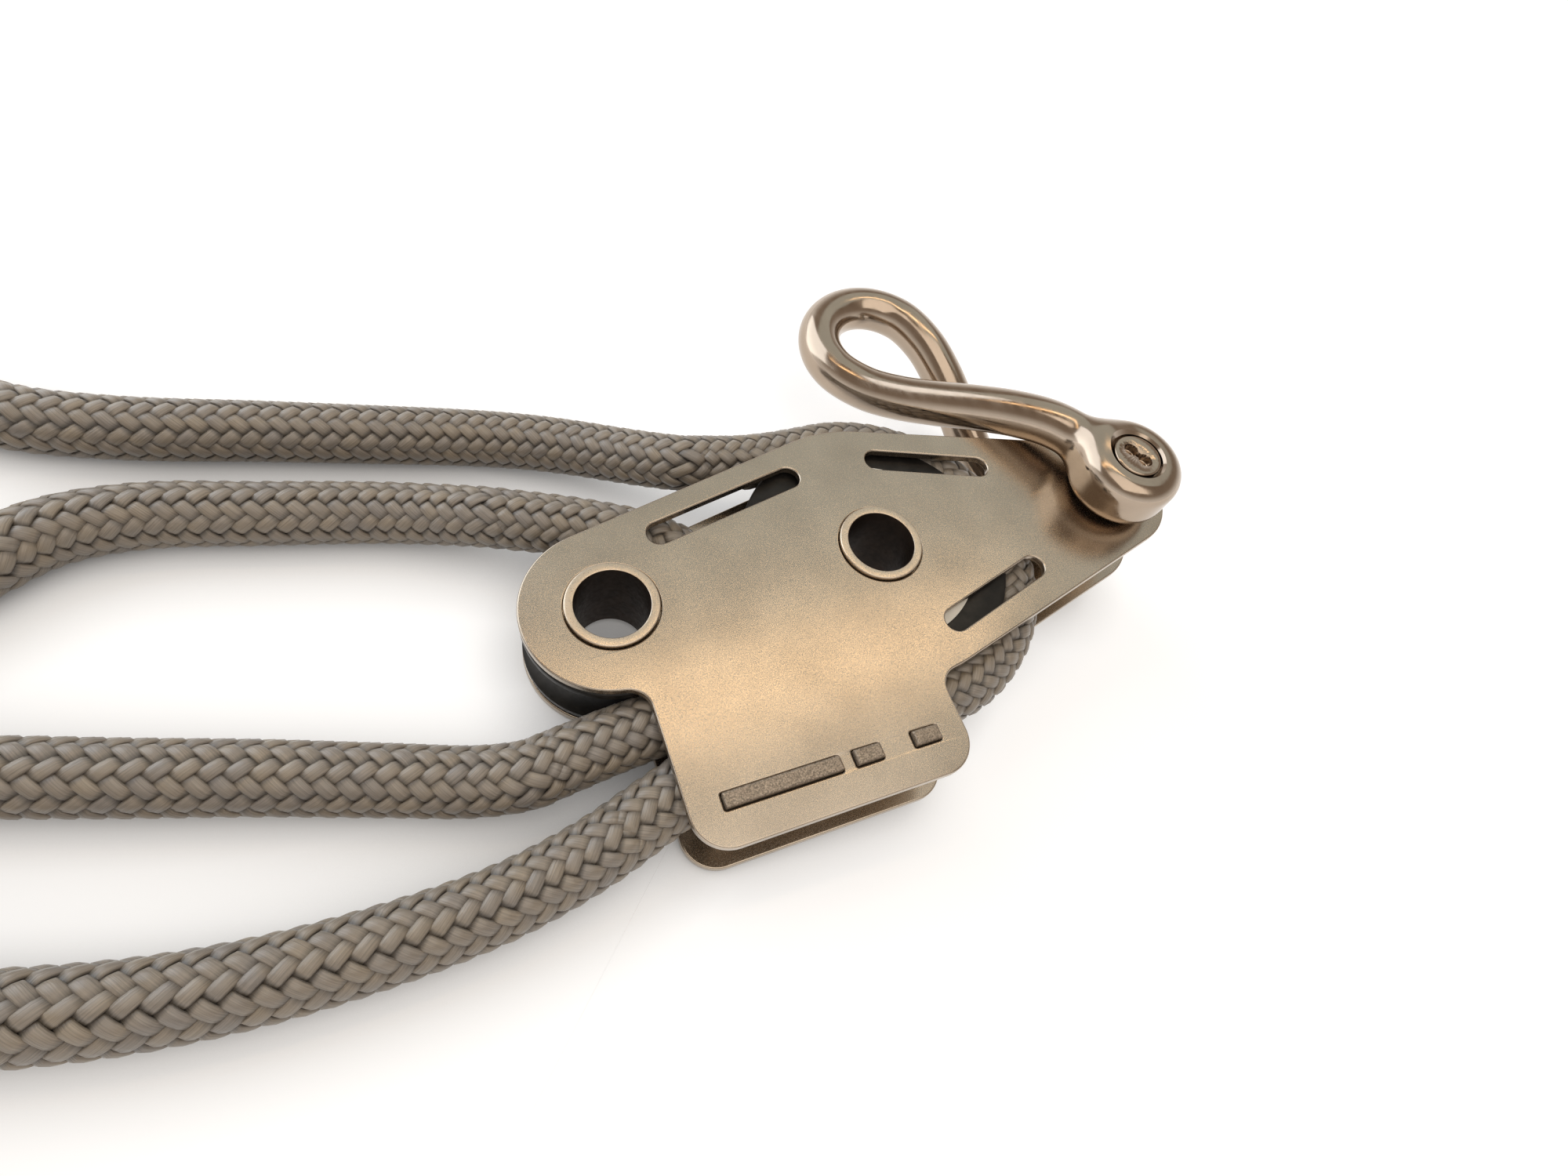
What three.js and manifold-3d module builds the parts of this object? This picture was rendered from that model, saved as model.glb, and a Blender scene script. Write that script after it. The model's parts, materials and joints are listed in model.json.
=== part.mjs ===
// Two-sheave in-line rope block with a rope-guide tab, a twisted shackle and its braided rope.
// Millimetres, +Z up. The block is drawn flat in its own frame (origin at the small axle on the
// outside of the back plate, X towards the nose, Z out of the front plate). It is then laid down
// as it rests: on the rim of the lower shackle eye, the lobe of the back plate and a lug.
import * as THREE from 'three';
import { mergeVertices } from 'three/addons/utils/BufferGeometryUtils.js';
import Module from 'manifold-3d';

const wasm = await Module();
wasm.setup();

// ---------------------------------------------------------------- driving dimensions

const gap = 0.15; // between pieces that touch or run on each other

const plateThickness = 1.5;
const plateSpacing = 11.6; // between the inside faces of the two plates
const lobeRadius = 13.5;
const shoulderLead = 1; // the shoulder's centre lies this far before the big axle
const shoulderRadius = 24;
const noseRadius = 11.4;
const tabLeft = 1.1;
const tabLead = 0.6; // the tab ends this far before the big axle
const tabBottom = -38.8;
const tabCornerRadius = 5.6;
const filletRadius = 3.4;

const axleSpacing = 45;
const axleRadius = 7;
const axleWall = 1.4;
const axleStep = 0.5; // the shoulder that keeps the plates apart
const axleProud = 0.65;

const slotWidth = 4.1;
const longSlotStart = [10.4, 10.6]; // from the small axle
const longSlotEnd = [-10.5, 16.1]; // from the big axle
const noseSlotStart = [6.6, 16.3]; // from the big axle
const noseSlotEnd = [-22.7, 10.8]; // from the shackle pin

const ropeRadius = 5;
const ropeSeat = 0.3; // from the rope to the groove it lies in
const smallGrooveWall = 1.9; // from a sheave's bore to the bottom of its groove
const bigGrooveWall = 5.8;
const smallFlange = 1.7; // a flange's height above the bottom of the groove
const bigFlange = 2.7;
const washerThickness = 0.3;
const smallWasherRadius = 11.4;
const bigWasherRadius = 17;

const bushWall = 2;
const raceWall = 2.25;
const ballRadius = 1.75;
const ballCount = 11;
const ballSeat = 0.2;
const raceGap = 0.7; // between a race and the cage
const cageWall = 0.8;
const cageRim = 0.55; // beside the balls' pockets

const noseReach = 47.5; // from the big axle to the shackle pin
const pinRadius = 4;
const pinHeadStep = 0.6;
const pinHeadDepth = 2.4;
const recessDepth = 1.6;
const recessRadius = 1.3;
const recessReach = 1.5;
const spacerWall = 2.2;

const eyeRadius = 9.3;
const eyeHeight = 10;
const eyeRounding = 2.7;
const eyeGap = 1; // between an eye and the plate beside it
const wireRadius = 4.2;
const bowRadius = 11.3; // wire centreline round the bow
const bowReach = 54; // from the pin to the middle of the bow
const legStraight = 9; // how far a leg runs straight before it twists
const shackleSwing = 117.5; // degrees from straight ahead, at rest

const guideInset = [5, 3.4, 3.6]; // from the tab's left, right and lower edges
const guideGap = 0.35; // between the rope and the guide's teeth
const guideLeadIn = 5;
const leadInDrop = 1.8;
const toothDepth = 0.7;
const toothPitch = 3;
const lugProud = 0.9;
const lugRoot = 0.5; // how far a lug is let into the guide's side
const lugWidth = 2.2;
const lugDepth = 1.55; // from the teeth's tips to the middle of a lug
const lugPlaces = [[-17.3], [-15, -10.8], [-5.4, -1.2]]; // from the guide's right end

const ropeSides = 8;
const layHeight = 5.1; // rope centreline above the surface where it lies flat
const coilRadius = 50; // rope centreline in the coil
const coilCentre = [-205.5, -17.5];
const coilLowerTurns = 2; // turns lying on each other under the last one
const coilTopFrom = -100; // degrees, where the last turn starts and ends
const coilTopTo = -300;
const capLength = 12;
const capRounding = 1.6;

// ---------------------------------------------------------------- derived sizes

const stack = plateSpacing + 2 * plateThickness;
const middle = stack / 2;
const sheaveBottom = plateThickness + washerThickness + 2 * gap;
const sheaveTop = stack - sheaveBottom;
const shoulderX = axleSpacing - shoulderLead;
const noseX = axleSpacing + noseReach;
const longSlot = { from: longSlotStart, to: [axleSpacing + longSlotEnd[0], longSlotEnd[1]] };
const noseSlot = {
  from: [axleSpacing + noseSlotStart[0], noseSlotStart[1]],
  to: [noseX + noseSlotEnd[0], noseSlotEnd[1]],
};

const axleBore = axleRadius - axleWall;
const axleShoulder = axleRadius + axleStep;
const runningRadius = axleShoulder + gap;
const bushOuter = runningRadius + bushWall;
const innerRaceTop = runningRadius + raceWall;
const ballPitch = innerRaceTop + raceGap + cageWall / 2;
const outerRaceInside = 2 * ballPitch - innerRaceTop;
const outerRaceOutside = outerRaceInside + raceWall;
const cageHalfWidth = ballRadius + ballSeat + cageRim;
const smallGroove = bushOuter + gap + smallGrooveWall;
const bigGroove = outerRaceOutside + gap + bigGrooveWall;
const smallTurnRadius = smallGroove + ropeSeat + ropeRadius; // rope centreline about the small axle
const bigTurnRadius = bigGroove + ropeSeat + ropeRadius; // rope centreline about the big axle

const tabRight = axleSpacing - tabLead;
const guideLeft = tabLeft + guideInset[0];
const guideRight = tabRight - guideInset[1];
const guideBottom = tabBottom + guideInset[2];
const guideTop = -bigTurnRadius - ropeRadius - guideGap;
const lugY = guideTop - lugDepth;
const lugSpans = lugPlaces.map((place) => [guideLeft, ...place.map((x) => guideRight + x)].slice(-2));

const eyeMiddle = middle + stack / 2 + eyeGap + eyeHeight / 2;
const eyeOffset = eyeMiddle - middle;
const pinHeadRadius = pinRadius + pinHeadStep;

// ---------------------------------------------------------------- materials

const steel = () => new THREE.MeshStandardMaterial({ color: 0xb3a898, roughness: 0.38, metalness: 1 });
const polished = () => new THREE.MeshStandardMaterial({ color: 0xc9c4bc, roughness: 0.1, metalness: 1 });
const cast = () => new THREE.MeshStandardMaterial({ color: 0x8c857e, roughness: 0.6, metalness: 1 });
const anodised = () => new THREE.MeshStandardMaterial({ color: 0x26241f, roughness: 0.5, metalness: 0.6 });
const bronze = () => new THREE.MeshStandardMaterial({ color: 0x8a6a3c, roughness: 0.4, metalness: 1 });
const acetal = () => new THREE.MeshStandardMaterial({ color: 0xe6e2d8, roughness: 0.5, metalness: 0 });
const braid = () => new THREE.MeshStandardMaterial({ color: 0x8a8376, roughness: 0.85, metalness: 0 });
const shrink = () => new THREE.MeshStandardMaterial({ color: 0x1c1b1a, roughness: 0.6, metalness: 0 });

// ---------------------------------------------------------------- geometry helpers

const radians = THREE.MathUtils.degToRad;
const polar = (x, y, r, a) => [x + r * Math.cos(a), y + r * Math.sin(a)];

// Signed volume of an indexed triangle mesh.
function volume(geometry) {
  const p = geometry.attributes.position;
  const index = geometry.index;
  const a = new THREE.Vector3();
  const b = new THREE.Vector3();
  const c = new THREE.Vector3();
  let sum = 0;
  for (let i = 0; i < index.count; i += 3) {
    a.fromBufferAttribute(p, index.getX(i));
    b.fromBufferAttribute(p, index.getX(i + 1));
    c.fromBufferAttribute(p, index.getX(i + 2));
    sum += a.dot(b.cross(c)) / 6;
  }
  return sum;
}

// One closed mesh with shared vertices and its faces pointing out.
function closed(geometry) {
  const bare = geometry.clone();
  bare.deleteAttribute('normal');
  bare.deleteAttribute('uv');
  const merged = mergeVertices(bare, 1e-4);
  const kept = [];
  for (let i = 0; i < merged.index.count; i += 3) {
    const [a, b, c] = [0, 1, 2].map((k) => merged.index.getX(i + k));
    if (a !== b && b !== c && c !== a) kept.push(a, b, c);
  }
  merged.setIndex(kept);
  if (volume(merged) < 0) {
    for (let i = 0; i < kept.length; i += 3) [kept[i], kept[i + 1]] = [kept[i + 1], kept[i]];
    merged.setIndex(kept);
  }
  return merged;
}

function solid(geometry) {
  const { attributes, index } = closed(geometry);
  const vertProperties = Float32Array.from(attributes.position.array);
  const triVerts = Uint32Array.from(index.array);
  return new wasm.Manifold(new wasm.Mesh({ numProp: 3, vertProperties, triVerts }));
}

function geometryOf(manifold) {
  const { vertProperties, triVerts } = manifold.getMesh();
  const geometry = new THREE.BufferGeometry();
  geometry.setAttribute('position', new THREE.BufferAttribute(vertProperties, 3));
  geometry.setIndex(new THREE.BufferAttribute(triVerts, 1));
  return geometry;
}

// A turned piece: the profile is a list of [radius, height], closed on itself.
function turned(profile, segments) {
  const points = [...profile, profile[0]].map(([r, h]) => new THREE.Vector2(r, h));
  return closed(new THREE.LatheGeometry(points, segments).rotateX(Math.PI / 2));
}

const ring = (inner, outer, low, high, segments = 36) =>
  turned([[inner, low], [outer, low], [outer, high], [inner, high]], segments);

function extruded(shape, low, high) {
  const options = { depth: high - low, bevelEnabled: false };
  return closed(new THREE.ExtrudeGeometry(shape, options).translate(0, 0, low));
}

function circleShape(radius, sides) {
  const shape = new THREE.Shape();
  for (let i = 0; i < sides; i += 1) {
    const a = (2 * Math.PI * (i + 0.5)) / sides;
    shape[i ? 'lineTo' : 'moveTo'](radius * Math.cos(a), radius * Math.sin(a));
  }
  shape.closePath();
  return shape;
}

// A round bar or rope along a smooth curve through the points.
function tube(points, radius, sides, steps) {
  const path = new THREE.CatmullRomCurve3(points.map((p) => new THREE.Vector3(...p)), false, 'centripetal');
  path.arcLengthDivisions = 600;
  const options = { steps, extrudePath: path, bevelEnabled: false };
  return closed(new THREE.ExtrudeGeometry(circleShape(radius, sides), options));
}

function circleHole(x, y, radius) {
  const path = new THREE.Path();
  path.absarc(x, y, radius, 0, 2 * Math.PI, true);
  return new THREE.Path(path.getPoints(12));
}

function slotHole({ from, to }, width) {
  const r = width / 2;
  const along = Math.atan2(to[1] - from[1], to[0] - from[0]);
  const path = new THREE.Path();
  path.absarc(to[0], to[1], r, along + Math.PI / 2, along - Math.PI / 2, true);
  path.absarc(from[0], from[1], r, along - Math.PI / 2, along + Math.PI / 2, true);
  path.closePath();
  return new THREE.Path(path.getPoints(5));
}

const mirrored = ({ from, to }) => ({ from: [from[0], -from[1]], to: [to[0], -to[1]] });

// ---------------------------------------------------------------- assembly

const block = new THREE.Group(); // the block in its own frame
const floor = new THREE.Group(); // what lies free on the surface, in the part's frame

function add(name, geometry, material, parent = block) {
  const piece = new THREE.Mesh(geometry, material);
  piece.name = name;
  parent.add(piece);
  return piece;
}

// ---- side plates

// Lobe, shoulder and nose circles joined by tangents, with the guide tab below.
function plateOutline() {
  const toShoulder = Math.acos((lobeRadius - shoulderRadius) / shoulderX);
  const toNose = Math.acos((shoulderRadius - noseRadius) / (noseX - shoulderX));
  const leftX = tabLeft - filletRadius;
  const leftY = -Math.sqrt((lobeRadius + filletRadius) ** 2 - leftX ** 2);
  const leftAngle = Math.atan2(leftY, leftX);
  const rightX = tabRight + filletRadius;
  const rightY = -Math.sqrt((shoulderRadius + filletRadius) ** 2 - (rightX - shoulderX) ** 2);
  const rightAngle = Math.atan2(rightY, rightX - shoulderX);
  const corner = tabCornerRadius;
  const shape = new THREE.Shape();
  shape.absarc(noseX, 0, noseRadius, -toNose, toNose, false);
  shape.absarc(shoulderX, 0, shoulderRadius, toNose, toShoulder, false);
  shape.absarc(0, 0, lobeRadius, toShoulder, leftAngle + 2 * Math.PI, false);
  shape.absarc(leftX, leftY, filletRadius, leftAngle + Math.PI, 0, true);
  shape.absarc(tabLeft + corner, tabBottom + corner, corner, Math.PI, 1.5 * Math.PI, false);
  shape.absarc(tabRight - corner, tabBottom + corner, corner, 1.5 * Math.PI, 2 * Math.PI, false);
  shape.absarc(rightX, rightY, filletRadius, Math.PI, rightAngle + Math.PI, true);
  shape.absarc(shoulderX, 0, shoulderRadius, rightAngle, -toNose, false);
  shape.closePath();
  return new THREE.Shape(shape.getPoints(7));
}

function plate(low) {
  const shape = plateOutline();
  shape.holes.push(circleHole(0, 0, axleRadius + gap));
  shape.holes.push(circleHole(axleSpacing, 0, axleRadius + gap));
  shape.holes.push(circleHole(noseX, 0, pinRadius + gap));
  for (const slot of [longSlot, noseSlot, mirrored(noseSlot)]) shape.holes.push(slotHole(slot, slotWidth));
  let body = solid(extruded(shape, low, low + plateThickness));
  for (const [left, right] of lugSpans) {
    const window = new THREE.BoxGeometry(right - left + 2 * gap, lugWidth + 2 * gap, 3 * plateThickness);
    body = body.subtract(solid(window.translate((left + right) / 2, lugY, low)));
  }
  return geometryOf(body);
}

add('back_plate', plate(0), steel());
add('front_plate', plate(stack - plateThickness), steel());

// ---- hollow axles, swaged into both plates

function axle() {
  const low = plateThickness + gap;
  const high = stack - low;
  return turned([
    [axleBore, -axleProud], [axleRadius, -axleProud], [axleRadius, low], [axleShoulder, low],
    [axleShoulder, high], [axleRadius, high], [axleRadius, stack + axleProud], [axleBore, stack + axleProud],
  ], 28);
}

add('small_axle', axle(), steel());
add('big_axle', axle(), steel()).position.x = axleSpacing;

// ---- sheaves and what they run on

// A grooved wheel about Z; the groove is an arc about the rope's centreline.
function sheave(bore, flange, turnRadius) {
  const groove = ropeRadius + ropeSeat;
  const open = Math.acos((turnRadius - flange) / groove);
  const arcSteps = 6;
  const profile = [[bore, sheaveBottom], [flange, sheaveBottom]];
  for (let i = 0; i <= arcSteps; i += 1) {
    const a = -open + (2 * open * i) / arcSteps;
    profile.push([turnRadius - groove * Math.cos(a), middle + groove * Math.sin(a)]);
  }
  profile.push([flange, sheaveTop], [bore, sheaveTop]);
  return turned(profile, 40);
}

function washers(prefix, outer, x) {
  const low = plateThickness + gap;
  for (const [side, z] of [['back', low], ['front', stack - low - washerThickness]]) {
    const washer = ring(runningRadius, outer, z, z + washerThickness, 28);
    add(`${prefix}_washer_${side}`, washer, acetal()).position.x = x;
  }
}

add('small_sheave', sheave(bushOuter + gap, smallGroove + smallFlange, smallTurnRadius), anodised());
add('small_sheave_bush', ring(runningRadius, bushOuter, sheaveBottom, sheaveTop, 28), bronze());
washers('small', smallWasherRadius, 0);

const sphere = (radius) => new THREE.SphereGeometry(radius, 8, 6);

// A race is a ring with a groove for the balls on one wall.
function race(wall, grooved) {
  const groove = ballRadius + ballSeat;
  const half = Math.sqrt(groove ** 2 - (ballPitch - grooved) ** 2);
  const deep = grooved < ballPitch ? ballPitch - groove : ballPitch + groove;
  const flank = [(grooved + 3 * deep) / 4, half * 0.66];
  return turned([
    [wall, sheaveBottom], [grooved, sheaveBottom], [grooved, middle - half],
    [flank[0], middle - flank[1]], [deep, middle], [flank[0], middle + flank[1]],
    [grooved, middle + half], [grooved, sheaveTop], [wall, sheaveTop],
  ], 32);
}

function cage() {
  const inner = ballPitch - cageWall / 2;
  let body = solid(ring(inner, inner + cageWall, middle - cageHalfWidth, middle + cageHalfWidth, 33));
  for (let i = 0; i < ballCount; i += 1) {
    const [x, y] = polar(0, 0, ballPitch, (2 * Math.PI * i) / ballCount);
    body = body.subtract(solid(sphere(ballRadius + ballSeat).translate(x, y, middle)));
  }
  return geometryOf(body);
}

const bigWheel = {
  big_sheave: [sheave(outerRaceOutside + gap, bigGroove + bigFlange, bigTurnRadius), anodised()],
  bearing_inner_race: [race(runningRadius, innerRaceTop), steel()],
  bearing_outer_race: [race(outerRaceOutside, outerRaceInside), steel()],
};
for (const [name, piece] of Object.entries(bigWheel)) add(name, ...piece).position.x = axleSpacing;
for (let i = 0; i < ballCount; i += 1) {
  const [x, y] = polar(axleSpacing, 0, ballPitch, (2 * Math.PI * i) / ballCount);
  add(`bearing_ball_${i + 1}`, closed(sphere(ballRadius)), polished()).position.set(x, y, middle);
}
add('bearing_cage', cage(), bronze()).position.x = axleSpacing;
washers('big', bigWasherRadius, axleSpacing);

// ---- nose spacer round the shackle pin

const spacerInner = pinRadius + gap;
const spacerEnd = plateThickness + gap;
const spacer = ring(spacerInner, spacerInner + spacerWall, spacerEnd, stack - spacerEnd, 28);
add('nose_spacer', spacer, steel()).position.x = noseX;

// ---- rope guide in the tab, with lugs through both plates

function ropeGuide() {
  const shape = new THREE.Shape();
  shape.moveTo(guideLeft, guideBottom);
  shape.lineTo(guideRight, guideBottom);
  shape.lineTo(guideRight, guideTop);
  const teeth = Math.floor((guideRight - guideLeft - guideLeadIn) / toothPitch);
  for (let i = 0; i < teeth; i += 1) {
    const x = guideRight - i * toothPitch;
    shape.lineTo(x - toothPitch * 0.7, guideTop - toothDepth);
    shape.lineTo(x - toothPitch, guideTop);
  }
  shape.lineTo(guideLeft + guideLeadIn / 2, guideTop - leadInDrop / 2);
  shape.lineTo(guideLeft, guideTop - leadInDrop);
  shape.closePath();
  let body = solid(extruded(shape, plateThickness + gap, stack - plateThickness - gap));
  const lugHeight = lugProud + plateThickness + gap + lugRoot;
  for (const [left, right] of lugSpans) {
    for (const z of [-lugProud + lugHeight / 2, stack + lugProud - lugHeight / 2]) {
      const lug = new THREE.BoxGeometry(right - left, lugWidth, lugHeight);
      body = body.add(solid(lug.translate((left + right) / 2, lugY, z)));
    }
  }
  return geometryOf(body);
}

add('rope_guide', ropeGuide(), cast());

// ---- twisted shackle, drawn along +X from its pin and swung to its rest angle

const smooth = (t) => t * t * (3 - 2 * t);

// One wire runs from the upper eye, round the bow, to the lower eye, a quarter turn in each leg.
function wireRoute() {
  const legSteps = 7;
  const bowSteps = 8;
  const leg = [[eyeRadius - wireRadius + 1, 0, eyeOffset]];
  for (let i = 0; i < legSteps; i += 1) {
    const t = i / legSteps;
    const turn = smooth(t);
    leg.push([legStraight + (bowReach - legStraight) * t, bowRadius * turn, eyeOffset * (1 - turn)]);
  }
  const bow = [];
  for (let i = 0; i <= bowSteps; i += 1) {
    const a = Math.PI / 2 - (Math.PI * i) / bowSteps;
    bow.push([bowReach + bowRadius * Math.cos(a), bowRadius * Math.sin(a), 0]);
  }
  const back = leg.map(([d, v, z]) => [d, -v, -z]).reverse();
  return [...leg, ...bow, ...back].map(([d, v, z]) => [d, v, z + middle]);
}

function eye(centreZ) {
  const h = eyeHeight / 2;
  const profile = [[0, centreZ - h], [eyeRadius - eyeRounding, centreZ - h]];
  for (const a of [-60, -30, 0]) {
    const [r, z] = polar(eyeRadius - eyeRounding, centreZ - h + eyeRounding, eyeRounding, radians(a));
    profile.push([r, z]);
  }
  for (const a of [0, 30, 60]) {
    const [r, z] = polar(eyeRadius - eyeRounding, centreZ + h - eyeRounding, eyeRounding, radians(a));
    profile.push([r, z]);
  }
  profile.push([eyeRadius - eyeRounding, centreZ + h], [0, centreZ + h]);
  const points = profile.map(([r, z]) => new THREE.Vector2(r, z));
  return solid(new THREE.LatheGeometry(points, 26).rotateX(Math.PI / 2));
}

function cylinder(radius, low, high, segments = 24) {
  return solid(new THREE.CylinderGeometry(radius, radius, high - low, segments)
    .rotateX(Math.PI / 2).translate(0, 0, (low + high) / 2));
}

const eyeTop = eyeMiddle + eyeHeight / 2;
const eyeBottom = 2 * middle - eyeTop;

function shackleBow() {
  const wire = solid(tube(wireRoute(), wireRadius, 10, 38));
  const headSeat = cylinder(pinHeadRadius + gap, eyeTop - pinHeadDepth - gap, eyeTop + 1);
  return geometryOf(wire.add(eye(eyeMiddle)).add(eye(2 * middle - eyeMiddle))
    .subtract(cylinder(pinRadius + gap, eyeBottom - 1, eyeTop + 1)).subtract(headSeat));
}

// A flush-headed pin with a two-lobed driving recess.
function shacklePin() {
  let pin = cylinder(pinRadius, eyeBottom + gap, eyeTop - gap)
    .add(cylinder(pinHeadRadius, eyeTop - pinHeadDepth, eyeTop - gap));
  for (const side of [-1, 1]) {
    const lobe = new THREE.CylinderGeometry(recessRadius, recessRadius, 2 * recessDepth, 12)
      .rotateX(Math.PI / 2).translate(side * recessReach, 0, eyeTop - gap);
    pin = pin.subtract(solid(lobe));
  }
  return geometryOf(pin.subtract(solid(new THREE.BoxGeometry(2 * recessReach, recessRadius, 2 * recessDepth)
    .translate(0, 0, eyeTop - gap))));
}

const shackle = new THREE.Group();
shackle.position.x = noseX;
shackle.rotation.z = radians(shackleSwing);
block.add(shackle);
add('shackle_bow', shackleBow(), polished(), shackle);
add('shackle_pin', shacklePin(), polished(), shackle);

// ---- rope held in the block, in the block's frame at mid height

function arc(x, y, radius, from, to, step) {
  const points = [];
  const count = Math.round(Math.abs(to - from) / step);
  for (let i = 0; i <= count; i += 1) {
    points.push([...polar(x, y, radius, radians(from + ((to - from) * i) / count)), middle]);
  }
  return points;
}

const smallTurn = [
  [-10.5, 23.1, middle], [-1.8, 19.7, middle],
  ...arc(0, 0, smallTurnRadius, 64, -84, 12),
  [-6, -17.7, middle], [-13.6, -18.6, middle],
];
const fromBig = (x, rise) => [axleSpacing + x, bigTurnRadius + rise, middle];
const underBig = (x, drop) => [x, -bigTurnRadius - drop, middle];
const bigTurn = [
  fromBig(-21.4, 1.7), fromBig(-15, 0.4), fromBig(-8, -0.15),
  ...arc(axleSpacing, 0, bigTurnRadius, 96, -90, 12),
  underBig(axleSpacing - 13, 0), underBig(20, 0), underBig(12.5, 0), underBig(8, 0.55),
  underBig(4, 1.55), underBig(-0.5, 3), underBig(-6.1, 4.9),
];

add('rope_small_turn', tube(smallTurn, ropeRadius, ropeSides, 26), braid());
add('rope_big_turn', tube(bigTurn, ropeRadius, ropeSides, 42), braid());

// ---------------------------------------------------------------- laid down as it rests

// The block leans on three rims, each a circle in a plane of constant height; a plane under
// all three touches each circle on the side towards which the plane rises.
function restNormal(rims) {
  const normal = new THREE.Vector3(0, 0, 1);
  for (let pass = 0; pass < 12; pass += 1) {
    const tilt = Math.hypot(normal.x, normal.y) || 1;
    const touch = rims.map(([x, y, z, r]) =>
      new THREE.Vector3(x - (r * normal.x) / tilt, y - (r * normal.y) / tilt, z));
    normal.subVectors(touch[1], touch[0]).cross(touch[2].clone().sub(touch[0])).normalize();
    if (normal.z < 0) normal.negate();
  }
  return normal;
}

const eyeRim = [noseX, 0, eyeBottom, eyeRadius - eyeRounding];
const lobeRim = [0, 0, 0, lobeRadius];
const lugCorner = [lugSpans[0][0], lugY - lugWidth / 2, -lugProud, 0];
const lean = new THREE.Quaternion().setFromUnitVectors(
  restNormal([eyeRim, lobeRim, lugCorner]), new THREE.Vector3(0, 0, 1));
block.quaternion.copy(lean);
block.updateMatrixWorld(true);
const bounds = new THREE.Box3().setFromObject(block, true);
block.position.set(-(bounds.min.x + bounds.max.x) / 2, -(bounds.min.y + bounds.max.y) / 2, -bounds.min.z);
block.updateMatrixWorld(true);

// ---------------------------------------------------------------- rope that lies free, in the part's frame

// The first points of a free stretch run straight on from the end of the rope in the block.
function leaving(route) {
  const placed = (p) => new THREE.Vector3(...p).applyMatrix4(block.matrixWorld);
  const [end, before] = [placed(route[0]), placed(route[1])];
  const along = end.clone().sub(before).normalize();
  return [2 * gap, 3].map((d) => end.clone().addScaledVector(along, d).toArray());
}

// Strands one and two are one bight: out from the big sheave, round, and back to the small one.
const bightRoute = [
  ...leaving(bigTurn), [-29.5, 19.1, 10.4], [-35, 22.9, 8.4], [-40.5, 26.3, 6.9], [-48, 29.6, 5.8],
  [-57.2, 32.2, 5.2], [-75.3, 35.3, 5.1], [-88.7, 37.4, 5.1], [-105.7, 39.9, 5.1], [-118, 43, 5.1],
  [-127.5, 47.4, 5.1], [-139, 50, 5.1], [-151.9, 45.3, 5.1], [-158.7, 33.5, 5.1], [-156.3, 20, 5.1],
  [-145.8, 11.2, 5.1], [-133.5, 11.2, 5.1], [-124.5, 16.2, 5.1], [-115.5, 21.3, 5.1],
  [-105, 22.6, 5.1], [-90, 20.7, 5.1], [-74, 18.2, 5.3], [-66, 15.8, 6.3], ...leaving(smallTurn).reverse(),
];
const anchorRoute = [
  ...leaving([...smallTurn].reverse()), [-68, -29.6, 5.4], [-78.3, -26.4, 5.1], [-93.3, -21.8, 5.1],
  [-106.8, -18, 5.1], [-119.2, -14.4, 5.1], [-126, -12.6, 5.1],
];
const tailRoute = [
  ...leaving([...bigTurn].reverse()), [-61, -45, 5.6], [-69, -46.3, 5.2], [-81.4, -46.9, 5.1],
  [-95.2, -46.4, 5.1], [-107.3, -44.7, 5.1], [-118.3, -42, 5.1], [-127, -39.4, 5.1],
  [-134, -38.2, 5.1], [-141, -39.2, 5.1], [-147, -41.6, 5.1], [-152.5, -44.7, 5.1],
];

add('rope_bight', tube(bightRoute, ropeRadius, ropeSides, 40), braid(), floor);
add('rope_anchor_leg', tube(anchorRoute, ropeRadius, ropeSides, 9), braid(), floor);
add('rope_tail', tube(tailRoute, ropeRadius, ropeSides, 12), braid(), floor);

// The rest of the tail: a round coil, with its last turn lying on the others.
const [coilX, coilY] = coilCentre;
const turnHeight = 2 * layHeight;
const coilTop = coilLowerTurns * turnHeight;
const lowerTurns = ring(coilRadius - ropeRadius, coilRadius + ropeRadius, 0.1, coilTop - 2 * gap, 40);
add('rope_coil', lowerTurns, braid(), floor).position.set(coilX, coilY, 0);
const topTurn = arc(coilX, coilY, coilRadius, coilTopFrom, coilTopTo, 15)
  .map(([x, y]) => [x, y, coilTop + ropeRadius]);
add('rope_coil_top', tube(topTurn, ropeRadius, ropeSides, 18), braid(), floor);

// A shrunk-on end cap, from the last point of a route and in the direction in which it runs out.
function endCap(name, route) {
  const last = new THREE.Vector3(...route.at(-1));
  const along = last.clone().sub(new THREE.Vector3(...route.at(-2))).normalize();
  const r = ropeRadius;
  const cap = closed(new THREE.LatheGeometry([
    [0, 2 * gap], [r, 2 * gap], [r, capLength - capRounding], [r - capRounding, capLength], [0, capLength],
  ].map(([radius, height]) => new THREE.Vector2(radius, height)), 20));
  const piece = add(name, cap, shrink(), floor);
  piece.quaternion.setFromUnitVectors(new THREE.Vector3(0, 1, 0), along);
  piece.position.copy(last);
}

endCap('rope_anchor_cap', anchorRoute);
endCap('rope_tail_cap', topTurn);

const part = new THREE.Group();
part.add(block, floor);

export default part;
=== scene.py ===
"""In-line rope block with two sheaves, a twisted shackle and its braided rope.

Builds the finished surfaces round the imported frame: one operator for the stage and one for each
piece or group of like pieces, with the sizes and colours in property groups.
"""

import json
import math

import bmesh
import bpy
import numpy as np
from bpy.props import FloatProperty, FloatVectorProperty, IntProperty, PointerProperty
from mathutils import Matrix, Vector, noise
from mathutils.geometry import tessellate_polygon
from mathutils.kdtree import KDTree


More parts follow.
